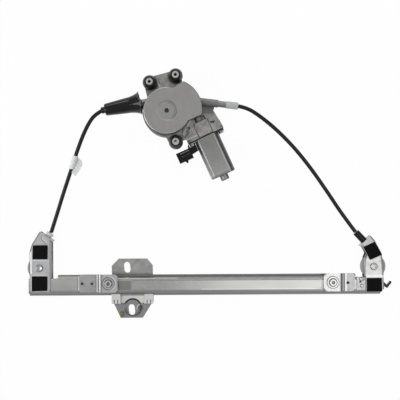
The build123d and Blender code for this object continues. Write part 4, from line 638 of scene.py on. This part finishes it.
# Foam pads
# Black closed-cell foam, glued to the brackets against rattle.
foam = finish(
    "foam", (0.002, 0.002, 0.002), (0.009, 0.009, 0.010), (0.80, 0.95), patch=1.2,
    grain=0.7, grain_height=0.25, corner=0.8, gloss=0.12,
)
dress(foam, "left_foam_pads", "right_foam_pads")
pad_cells = 22
pad_foot = -3.5
pad_side = 1.15
pad_crown = 0.55
pad_ripple = 0.12
pad_shrink = 0.006
for name, node, corners in (
    ("left_upper_pad", "left_foam_pads", ((-114.3, 36.6), (-91.6, 36.6), (-91.2, 58.0), (-113.8, 58.0))),
    ("left_lower_pad", "left_foam_pads", ((-115.6, -11.4), (-92.0, -10.8), (-92.0, 11.2), (-115.4, 11.4))),
    ("right_upper_pad", "right_foam_pads", ((393.5, 33.0), (412.0, 41.0), (400.7, 60.9), (383.4, 52.6))),
    ("right_lower_pad", "right_foam_pads", ((388.3, -14.6), (411.6, -14.6), (411.2, 6.2), (388.2, 6.2))),
):
    spots = [Vector(corner).to_3d() for corner in corners]
    middle = sum(spots, Vector()) / 4
    pillow = bmesh.new()
    bmesh.ops.create_grid(pillow, x_segments=pad_cells, y_segments=pad_cells, size=1.0)
    skin = pillow.verts[:]
    rim = [edge for edge in pillow.edges if edge.is_boundary]
    skirt = bmesh.ops.extrude_edge_only(pillow, edges=rim)["geom"]
    foot = [part for part in skirt if isinstance(part, bmesh.types.BMVert)]
    bmesh.ops.contextual_create(pillow, geom=[part for part in skirt if isinstance(part, bmesh.types.BMEdge)])
    for spot in skin + foot:
        across, along = (spot.co.x + 1) / 2, (spot.co.y + 1) / 2
        near_side = spots[0].lerp(spots[1], across)
        far_side = spots[3].lerp(spots[2], across)
        flat_spot = near_side.lerp(far_side, along)
        edge_gap = 1 - max(abs(spot.co.x), abs(spot.co.y))
        ripple = noise.noise(flat_spot * 0.35)
        crown = 1 - math.exp(-9 * edge_gap)
        spot.co = flat_spot.lerp(middle, pad_shrink * (1 + ripple))
        spot.co.z = pad_foot
        if spot not in foot:
            spot.co.z += pad_side + pad_crown * crown + pad_ripple * ripple
    pillow.normal_update()
    bmesh.ops.recalc_face_normals(pillow, faces=pillow.faces)
    mesh = bpy.data.meshes.new(name)
    pillow.to_mesh(mesh)
    pillow.free()
    mesh.transform(Matrix.Scale(0.001, 4))
    mesh.polygons.foreach_set("use_smooth", [True] * len(mesh.polygons))
    mesh.materials.append(foam)
    pad = link(bpy.data.objects.new(name, mesh), "frame")
    rounding = pad.modifiers.new("soft corners", "SUBSURF")
    rounding.levels = 1
    rounding.render_levels = 1
    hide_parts(node)

# Carriage plate
# The glass carrier: pressed and zinc coated, with the slider clipped to its front.
carrier_zinc = galvanised(
    "carrier_zinc", (0.40, 0.40, 0.395), (0.60, 0.60, 0.59), (0.30, 0.46), (0.86, 0.86, 0.86), patch=12,
    flank=(0.16, 0.16, 0.16), grime=(0.16, 0.16, 0.16), grime_reach=4.0,
)
tree = carrier_zinc.node_tree
carrier_axes = axes_of(tree)
carrier_y = carrier_axes[1]
# The lower wing is darker and a little purple, with painted shade round its dome and a bright curved mark
# with shade beside it.
lower_wing = add_band(tree, carrier_y, -50.0, 26.0, 3.0)
tone(carrier_zinc, lower_wing, (0.32, 0.312, 0.325), 0.6)
tone(carrier_zinc, add_band(tree, carrier_y, -48.0, 8.0, 5.0), (0.38, 0.370, 0.385), 0.7)
for turn, beyond, colour in ((-60.0, -5.0, (0.25, 0.243, 0.255)), (-100.0, 0.0, (0.27, 0.262, 0.275))):
    dome_edge = add_arc(tree, carrier_axes, (35.9, -37.2), 12.2, 2.2, 0.6, turn, beyond)
    tone(carrier_zinc, dome_edge, colour, 0.9)
bright_curve_mark = add_arc(tree, carrier_axes, (48.0, -39.4), 6.5, 0.45, 0.35, 135.0, 3.6)
tone(carrier_zinc, bright_curve_mark, (0.98, 0.98, 0.98), 0.95)
mark_shade = add_arc(tree, carrier_axes, (46.6, -38.6), 0.0, 2.6, 2.0)
tone(carrier_zinc, mark_shade, (0.15, 0.145, 0.15), 0.7)
dress(carrier_zinc, "carriage_plate")

# A dab of olive inspection paint near the lower corner.
dab_paint = finish(
    "inspection_paint", (0.09, 0.11, 0.012), (0.24, 0.27, 0.045), (0.30, 0.45), patch=2.5, grain=0.6,
    grain_height=0.05,
)
dab_x, dab_y = 18.9, -48.9
dab_half_width, dab_half_height = 2.4, 4.1
dab_steps = 28
points, faces = [(dab_x, dab_y, -15.18)], []
for step in range(dab_steps):
    angle = math.tau * step / dab_steps
    reach = 1 + 0.16 * noise.noise(Vector((math.cos(angle), math.sin(angle), 0.3)) * 1.7)
    square = 1 / max(abs(math.cos(angle)), abs(math.sin(angle))) ** 0.7
    for size, level in ((0.82, -15.19), (1.0, -15.31)):
        points.append((
            dab_x + dab_half_width * size * reach * square * math.cos(angle),
            dab_y + dab_half_height * size * reach * square * math.sin(angle), level,
        ))
for step in range(dab_steps):
    here, after = 1 + 2 * step, 1 + 2 * ((step + 1) % dab_steps)
    faces += [(0, here, after), (here, here + 1, after + 1, after)]
faces.append(tuple(2 + 2 * step for step in range(dab_steps)))
shape_mesh("paint_dab", points, faces, dab_paint, "carriage")

# Drive wire
# Bare stranded steel where it leaves the sheaths, on the pulleys and along the rail.
strand = finish(
    "strand", (0.20, 0.20, 0.20), (0.45, 0.45, 0.46), (0.30, 0.45), metal=1.0, patch=0.6,
    grain=0.35, grain_height=0.10, corner=0.1,
)
dress(strand, "left_wire", "right_wire", "rail_wire", "drum_windings")

# Black mouldings
# Sheath ends, end hook and the brush holder with its connector.
black_resin = finish(
    "black_resin", (0.003, 0.003, 0.004), (0.008, 0.008, 0.010), (0.16, 0.30), patch=7,
    grain=0.5, grain_height=0.01, corner=0.5, gloss=0.28,
)
dress(black_resin, "right_rail_ferrule", "left_motor_ferrule", "end_clip", "brush_holder")

# Rubber
# The boot over the slack spring, the grommets and the damper inside the wheel.
rubber = finish(
    "rubber", (0.005, 0.005, 0.004), (0.014, 0.014, 0.013), (0.32, 0.50), patch=5,
    grain=0.8, grain_height=0.03, corner=0.5, gloss=0.4,
)
dress(rubber, "left_boot", "mounting_grommets", "rubber_damper")
boot_rubber = finish(
    "boot_rubber", (0.002, 0.002, 0.003), (0.006, 0.006, 0.007), (0.08, 0.15), patch=12,
    grain=3.0, grain_height=0.001, corner=0.3, gloss=0.42,
)
drum_axis = (90.1, 256.4)
wire_radius = 20.0
housing_radius = 37.6
mouth_edge = 36.7
boot_heading = math.radians(190.8)
boot_axis = Vector((math.cos(boot_heading), math.sin(boot_heading), 0.0))
boot_side = Vector((-boot_axis.y, boot_axis.x, 0.0))
drum_tangent = Vector((*drum_axis, 13.0)) - wire_radius * boot_side
boot_profile = (
    (37.0, 14.6), (36.7, 15.2), (36.7, 17.2), (37.0, 17.45), (37.7, 17.4), (38.1, 16.9), (38.5, 16.2),
    (40.5, 15.2), (43.5, 13.95), (46.5, 13.05), (48.9, 12.55), (50.2, 12.35), (51.4, 12.0), (52.0, 11.9),
    (60.0, 11.35), (70.0, 10.55), (80.0, 9.75), (87.5, 9.1), (89.0, 8.85), (89.7, 8.2), (89.9, 7.2),
    (89.9, 5.7), (90.2, 5.3), (91.4, 5.1), (91.8, 4.7), (92.3, 4.7), (92.7, 5.1), (94.4, 5.0), (94.8, 4.6),
    (95.2, 4.5), (95.6, 4.1), (95.6, 3.25), (92.5, 3.3),
    (88.1, 3.4), (88.1, 7.4), (80.0, 8.25), (60.0, 9.85), (50.0, 10.95), (44.0, 12.3), (39.5, 13.9),
)
points, faces = [], []
boot_steps = 72
for along, reach in boot_profile:
    for step in range(boot_steps):
        angle = math.tau * step / boot_steps
        out = boot_side * math.cos(angle) + Vector((0.0, 0.0, math.sin(angle)))
        # The mouth's lower half is cut to lie against the round housing.
        sideways = reach * math.cos(angle)
        lower_half = min(max((sideways + 6.0) / 8.0, 0.0), 1.0)
        at_mouth = min(max((mouth_edge + 3.3 - along) / 2.5, 0.0), 1.0)
        hug = lower_half * at_mouth
        wall = math.sqrt(housing_radius ** 2 - (sideways - wire_radius) ** 2) if hug > 0 else along
        moved = min(along, wall + 0.4 * (along - mouth_edge))
        points.append(drum_tangent + boot_axis * (along + hug * (moved - along)) + out * reach)
for ring in range(len(boot_profile)):
    beyond = (ring + 1) % len(boot_profile)
    for step in range(boot_steps):
        after = (step + 1) % boot_steps
        faces.append((
            boot_steps * ring + step, boot_steps * ring + after,
            boot_steps * beyond + after, boot_steps * beyond + step,
        ))
boot = shape_mesh("boot_moulding", points, faces, boot_rubber, "frame")
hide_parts("left_boot")

# Gear housing
# An aluminium die casting with a fine blasted skin, left bare.
cast = finish(
    "cast_aluminium", (0.29, 0.286, 0.28), (0.52, 0.515, 0.505), (0.40, 0.58), metal=0.9, patch=6,
    contrast=2.0, edge=(0.80, 0.80, 0.79), grain=0.5, grain_height=0.06, corner=0.5,
    flank=(0.19, 0.19, 0.185), grime=(0.06, 0.06, 0.058), grime_reach=3.5,
)
tree = cast.node_tree
cast_axes = axes_of(tree)
# Painted shade round the right spout's recess.
spout_along = add_band(tree, cast_axes[0], 158.0, 22.0, 4.0)
spout_across = add_band(tree, cast_axes[1], 266.0, 11.0, 3.0)
tone(cast, add_math(tree, "MULTIPLY", spout_along, spout_across), (0.20, 0.20, 0.20), 0.8)
# Light and shade of the small ribs beside the flange, on its upward faces only.
upward = add_math(tree, "SUBTRACT", 1.0, use_group(tree, steep_face).outputs["Mask"])
for start, end, half, shade in (
    ((72.5, 304.5), (75.5, 293.5), 0.7, 0.03), ((75.5, 306.5), (79.5, 292.0), 0.6, 0.80),
    ((118.5, 214.5), (134.0, 221.5), 0.7, 0.70),
    ((113.5, 222.5), (119.5, 231.5), 1.0, 0.70), ((120.0, 234.0), (124.5, 244.0), 1.2, 0.66),
    ((116.0, 218.0), (122.5, 227.0), 0.6, 0.05),
):
    mark = add_math(tree, "MULTIPLY", add_line(tree, cast_axes, start, end, half, 0.8), upward)
    tone(cast, mark, (shade, shade, shade), 0.7)
dress(cast, "gear_housing")

# Covers
# Pressed aluminium, plain and smooth: the front cap over the drum and the back cover.
cap = finish(
    "cover_aluminium", (0.37, 0.365, 0.36), (0.43, 0.425, 0.42), (0.40, 0.55), metal=0.9, patch=14,
    edge=(0.85, 0.85, 0.84), edge_radius=0.7, grain=0.4, grain_height=0.02, corner=0.9,
    flank=(0.22, 0.215, 0.21), grime=(0.20, 0.20, 0.195), grime_reach=2.0,
)
tree = cap.node_tree
cap_axes = axes_of(tree)
# Arcs of light and shade on the rim, the lobe and the raised middle.
lobe_axis = (97.4, 258.0)
for centre, radius, half, turn, beyond, shade in (
    (drum_axis, 33.7, 0.35, 225.0, 12.0, 0.75), (drum_axis, 33.7, 0.3, 128.0, 22.0, 0.60),
    (drum_axis, 34.3, 0.35, -80.0, 24.0, 0.05), (lobe_axis, 44.6, 0.3, 35.0, 30.0, 0.13),
    (drum_axis, 13.9, 0.4, 225.0, 5.0, 0.60), (drum_axis, 14.4, 0.4, 20.0, 5.0, 0.20),
    (drum_axis, 12.2, 1.4, 15.0, 4.0, 0.31),
):
    tone(cap, add_arc(tree, cap_axes, centre, radius, half, 0.4, turn, beyond), (shade, shade, shade), 0.8)
dress(cap, "drum_cover", "gear_back_cover")

# Motor
# A drawn steel can in satin grey paint, its screws, and the steel sleeves in the
# grommets with the slack spring and adjuster tube.
can_paint = finish(
    "can_paint", (0.27, 0.275, 0.265), (0.36, 0.365, 0.355), (0.26, 0.38), metal=0.75, patch=18,
    edge=(0.80, 0.80, 0.78), edge_radius=0.8, grain=1.4, grain_height=0.02, corner=0.9,
    flank=(0.055, 0.06, 0.065),
)
# The lower end and the left flank catch the light, and the right flank is in shade.
tree = can_paint.node_tree
can_axes = axes_of(tree)
top_face = add_band(tree, can_axes[2], 8.0, 2.6, 0.6)
lower_end = add_ramp(tree, can_axes[1], 0.205, 0.160)
tone(can_paint, add_math(tree, "MULTIPLY", top_face, lower_end), (0.47, 0.475, 0.47), 0.7)
can_turn = 24.2
can_offset = 38.0
can_mouth_spot = (
    drum_axis[0] + can_offset * math.cos(math.radians(can_turn)),
    drum_axis[1] + can_offset * math.sin(math.radians(can_turn)),
)
leftward = add_ahead(tree, can_axes, can_mouth_spot, can_turn + 180)
lengthwise = add_ahead(tree, can_axes, can_mouth_spot, can_turn - 90)
rightward = add_ahead(tree, can_axes, can_mouth_spot, can_turn)
left_flank = add_ramp(tree, leftward, 0.010, 0.013)
lit = add_math(tree, "MULTIPLY", left_flank, add_ramp(tree, lengthwise, 0.066, 0.122))
tone(can_paint, lit, (0.36, 0.37, 0.365), 0.8)
# Painted bands of light and shade across the crease at the can's lower end.
can_end = 120.2
for back, half, shade in ((5.2, 0.4, 0.56), (3.0, 1.2, 0.30), (0.6, 0.8, 0.12)):
    tone(can_paint, add_band(tree, lengthwise, can_end - back, half, 0.6), (shade, shade, shade), 0.6)
tone(can_paint, add_ramp(tree, rightward, 0.0120, 0.0135), (0.045, 0.047, 0.048), 0.85)
# A painted highlight runs along the right edge.
tone(can_paint, add_band(tree, rightward, 11.3, 0.4, 0.4), (0.66, 0.66, 0.65), 0.7)
dress(can_paint, "motor_can")
bright_steel = finish(
    "bright_steel", (0.46, 0.46, 0.46), (0.64, 0.64, 0.64), (0.20, 0.34), metal=1.0, patch=3,
    edge=(0.9, 0.9, 0.9), grain=0.3, grain_height=0.01,
)
dress(
    bright_steel, "motor_screws", "slack_spring",
    "drum_nipples", "drive_hub", "worm", "armature_shaft", "wire_nipples", "brush_springs",
)
# The drum shaft takes the same near-black steel, painted shade in the hole at the cover's middle.
dress(oiled_shade_steel, "drum_shaft")
tube_steel = finish(
    "tube_steel", (0.24, 0.24, 0.24), (0.36, 0.36, 0.36), (0.38, 0.52), metal=1.0, patch=5,
    edge=(0.7, 0.7, 0.7), grain=0.4, grain_height=0.01,
)
dress(tube_steel, "right_adjuster_tube")
sleeve_zinc = finish(
    "sleeve_zinc", (0.50, 0.50, 0.49), (0.68, 0.68, 0.67), (0.28, 0.40), metal=0.6, patch=1.5, contrast=2.5,
    edge=(0.95, 0.95, 0.95), grain=0.3, grain_height=0.01,
)
dress(sleeve_zinc, "grommet_sleeves")
points, faces = [], []
for sleeve in ((64.9, 298.8), (103.1, 308.7), (103.0, 210.5)):
    screw_thread(points, faces, sleeve, 1.0, 29.9)
shape_mesh("sleeve_threads", points, faces, sleeve_zinc, "frame")

# Two ribs that stiffen the connector's top; the first is painted pale as its highlight, the second stays near
# black.
highlit_rib = finish(
    "highlit_rib", (0.10, 0.10, 0.10), (0.22, 0.22, 0.22), (0.18, 0.30), patch=4, grain=0.4, gloss=0.7,
)
inner_rib = finish(
    "inner_rib", (0.02, 0.02, 0.02), (0.05, 0.05, 0.05), (0.18, 0.30), patch=4, grain=0.4, gloss=0.6,
)
rib_foot = -2.05
rib_rise = 0.95
rib_corners = 10
rib_arc = [math.pi * corner / (rib_corners - 1) for corner in range(rib_corners)]
rib_stations = ((0.0, 0.5), (0.04, 1.0), (0.96, 1.0), (1.0, 0.5))
for name, start, end, resin in (
    ("connector_rib_1", (109.0, 193.6), (122.4, 199.8), highlit_rib),
    ("connector_rib_2", (110.9, 189.2), (124.0, 195.2), inner_rib),
):
    run = Vector(end).to_3d() - Vector(start).to_3d()
    side = Vector((-run.y, run.x, 0.0)).normalized()
    points, faces = [], []
    for share, pinch in rib_stations:
        for angle in rib_arc:
            spot = Vector(start).to_3d() + run * share - side * pinch * math.cos(angle)
            points.append((spot.x, spot.y, rib_foot + rib_rise * pinch * math.sin(angle)))
    for here in range(0, 3 * rib_corners, rib_corners):
        beyond = here + rib_corners
        for corner in range(rib_corners):
            after = (corner + 1) % rib_corners
            faces.append((here + corner, here + after, beyond + after, beyond + corner))
    faces += [tuple(range(rib_corners)), tuple(range(3 * rib_corners, 4 * rib_corners))]
    shape_mesh(name, points, faces, resin, "frame")

# Inner parts
# Ferrite and iron, copper windings, plastic gears, brass contacts and carbon brushes.
ferrite = finish("ferrite", (0.05, 0.05, 0.052), (0.09, 0.09, 0.092), (0.55, 0.75), patch=5)
dress(ferrite, "magnets", "armature_core")
copper = finish("copper", (0.50, 0.22, 0.12), (0.68, 0.34, 0.20), (0.26, 0.40), metal=1.0, patch=2)
dress(copper, "armature_coils", "commutator")
gear_resin = finish("gear_resin", (0.62, 0.58, 0.48), (0.74, 0.70, 0.60), (0.30, 0.45), patch=8)
dress(gear_resin, "cable_drum", "worm_wheel")
brass = finish("brass", (0.58, 0.46, 0.22), (0.74, 0.62, 0.34), (0.24, 0.38), metal=1.0, patch=2)
dress(brass, "terminals", "shaft_bushes")
graphite = finish("graphite", (0.03, 0.03, 0.03), (0.07, 0.07, 0.07), (0.50, 0.65), patch=2)
dress(graphite, "brushes")

# Studio
# A white floor under the part and three soft lamps: a wide one high at the right, a
# strip at the left and a weaker strip beyond the far side.
floor_mesh = bpy.data.meshes.new("floor")
floor_shape = bmesh.new()
bmesh.ops.create_grid(floor_shape, x_segments=1, y_segments=1, size=4.0)
floor_shape.to_mesh(floor_mesh)
floor_shape.free()
floor = bpy.data.objects.new("floor", floor_mesh)
floor.location = (0.14, 0.12, cad_low.z - 0.0003)
bpy.context.scene.collection.objects.link(floor)
paper = bpy.data.materials.new("paper")
paper.use_nodes = True
tree = paper.node_tree
tree.nodes.remove(tree.nodes["Principled BSDF"])
matt = tree.nodes.new("ShaderNodeBsdfDiffuse")
matt.inputs["Color"].default_value = (0.94, 0.94, 0.94, 1.0)
glow = tree.nodes.new("ShaderNodeEmission")
ray = tree.nodes.new("ShaderNodeLightPath")
seen = add_math(tree, "MAXIMUM", ray.outputs["Is Camera Ray"], ray.outputs["Is Glossy Ray"])
seen = add_math(tree, "MAXIMUM", seen, ray.outputs["Is Transmission Ray"])
share = add_math(tree, "MULTIPLY", seen, 0.97)
# Under the open bores the paper lies in deep shade.
spot = tree.nodes.new("ShaderNodeNewGeometry")
for bore_x, bore_y in (*nut_places, (101.5, 214.0)):
    away = tree.nodes.new("ShaderNodeVectorMath")
    away.operation = "DISTANCE"
    away.inputs[1].default_value = (bore_x / 1000, bore_y / 1000, cad_low.z - 0.0003)
    tree.links.new(spot.outputs["Position"], away.inputs[0])
    share = add_math(tree, "MULTIPLY", share, add_ramp(tree, away.outputs["Value"], 0.005, 0.009))
blend = tree.nodes.new("ShaderNodeMixShader")
tree.links.new(share, blend.inputs["Fac"])
tree.links.new(matt.outputs[0], blend.inputs[1])
tree.links.new(glow.outputs[0], blend.inputs[2])
tree.links.new(blend.outputs[0], tree.nodes["Material Output"].inputs["Surface"])
floor_mesh.materials.append(paper)

# The room is lighter at the left than at the right, and the camera sees it white.
world = bpy.data.worlds.new("studio")
bpy.context.scene.world = world
world.use_nodes = True
tree = world.node_tree
room = tree.nodes["Background"]
toward = tree.nodes.new("ShaderNodeTexCoord")
toward_axes = tree.nodes.new("ShaderNodeSeparateXYZ")
walls = tree.nodes.new("ShaderNodeMapRange")
walls.inputs["From Min"].default_value = -1.0
walls.inputs["To Min"].default_value = 0.56
walls.inputs["To Max"].default_value = 0.26
tree.links.new(toward.outputs["Generated"], toward_axes.inputs[0])
tree.links.new(toward_axes.outputs["X"], walls.inputs["Value"])
tree.links.new(walls.outputs["Result"], room.inputs["Color"])
white = tree.nodes.new("ShaderNodeBackground")
white.inputs["Color"].default_value = (1.0, 1.0, 1.0, 1.0)
ray = tree.nodes.new("ShaderNodeLightPath")
choose = tree.nodes.new("ShaderNodeMixShader")
tree.links.new(ray.outputs["Is Camera Ray"], choose.inputs["Fac"])
tree.links.new(room.outputs[0], choose.inputs[1])
tree.links.new(white.outputs[0], choose.inputs[2])
tree.links.new(choose.outputs[0], tree.nodes["World Output"].inputs["Surface"])

for title, spot, width, depth, power in (
    ("overhead", (0.95, 0.00, 1.30), 1.2, 1.4, 5.0),
    ("left_strip", (-1.05, -0.05, 0.70), 0.4, 1.5, 6.0),
    ("far_strip", (0.10, 1.20, 0.50), 1.2, 0.20, 3.0),
):
    lamp = bpy.data.lights.new(title, "AREA")
    lamp.shape = "RECTANGLE"
    lamp.size = width
    lamp.size_y = depth
    lamp.energy = power
    source = bpy.data.objects.new(title, lamp)
    source.location = spot
    aim = Vector((0.14, 0.12, 0.0)) - Vector(spot)
    source.rotation_euler = aim.to_track_quat("-Z", "Y").to_euler()
    bpy.context.scene.collection.objects.link(source)
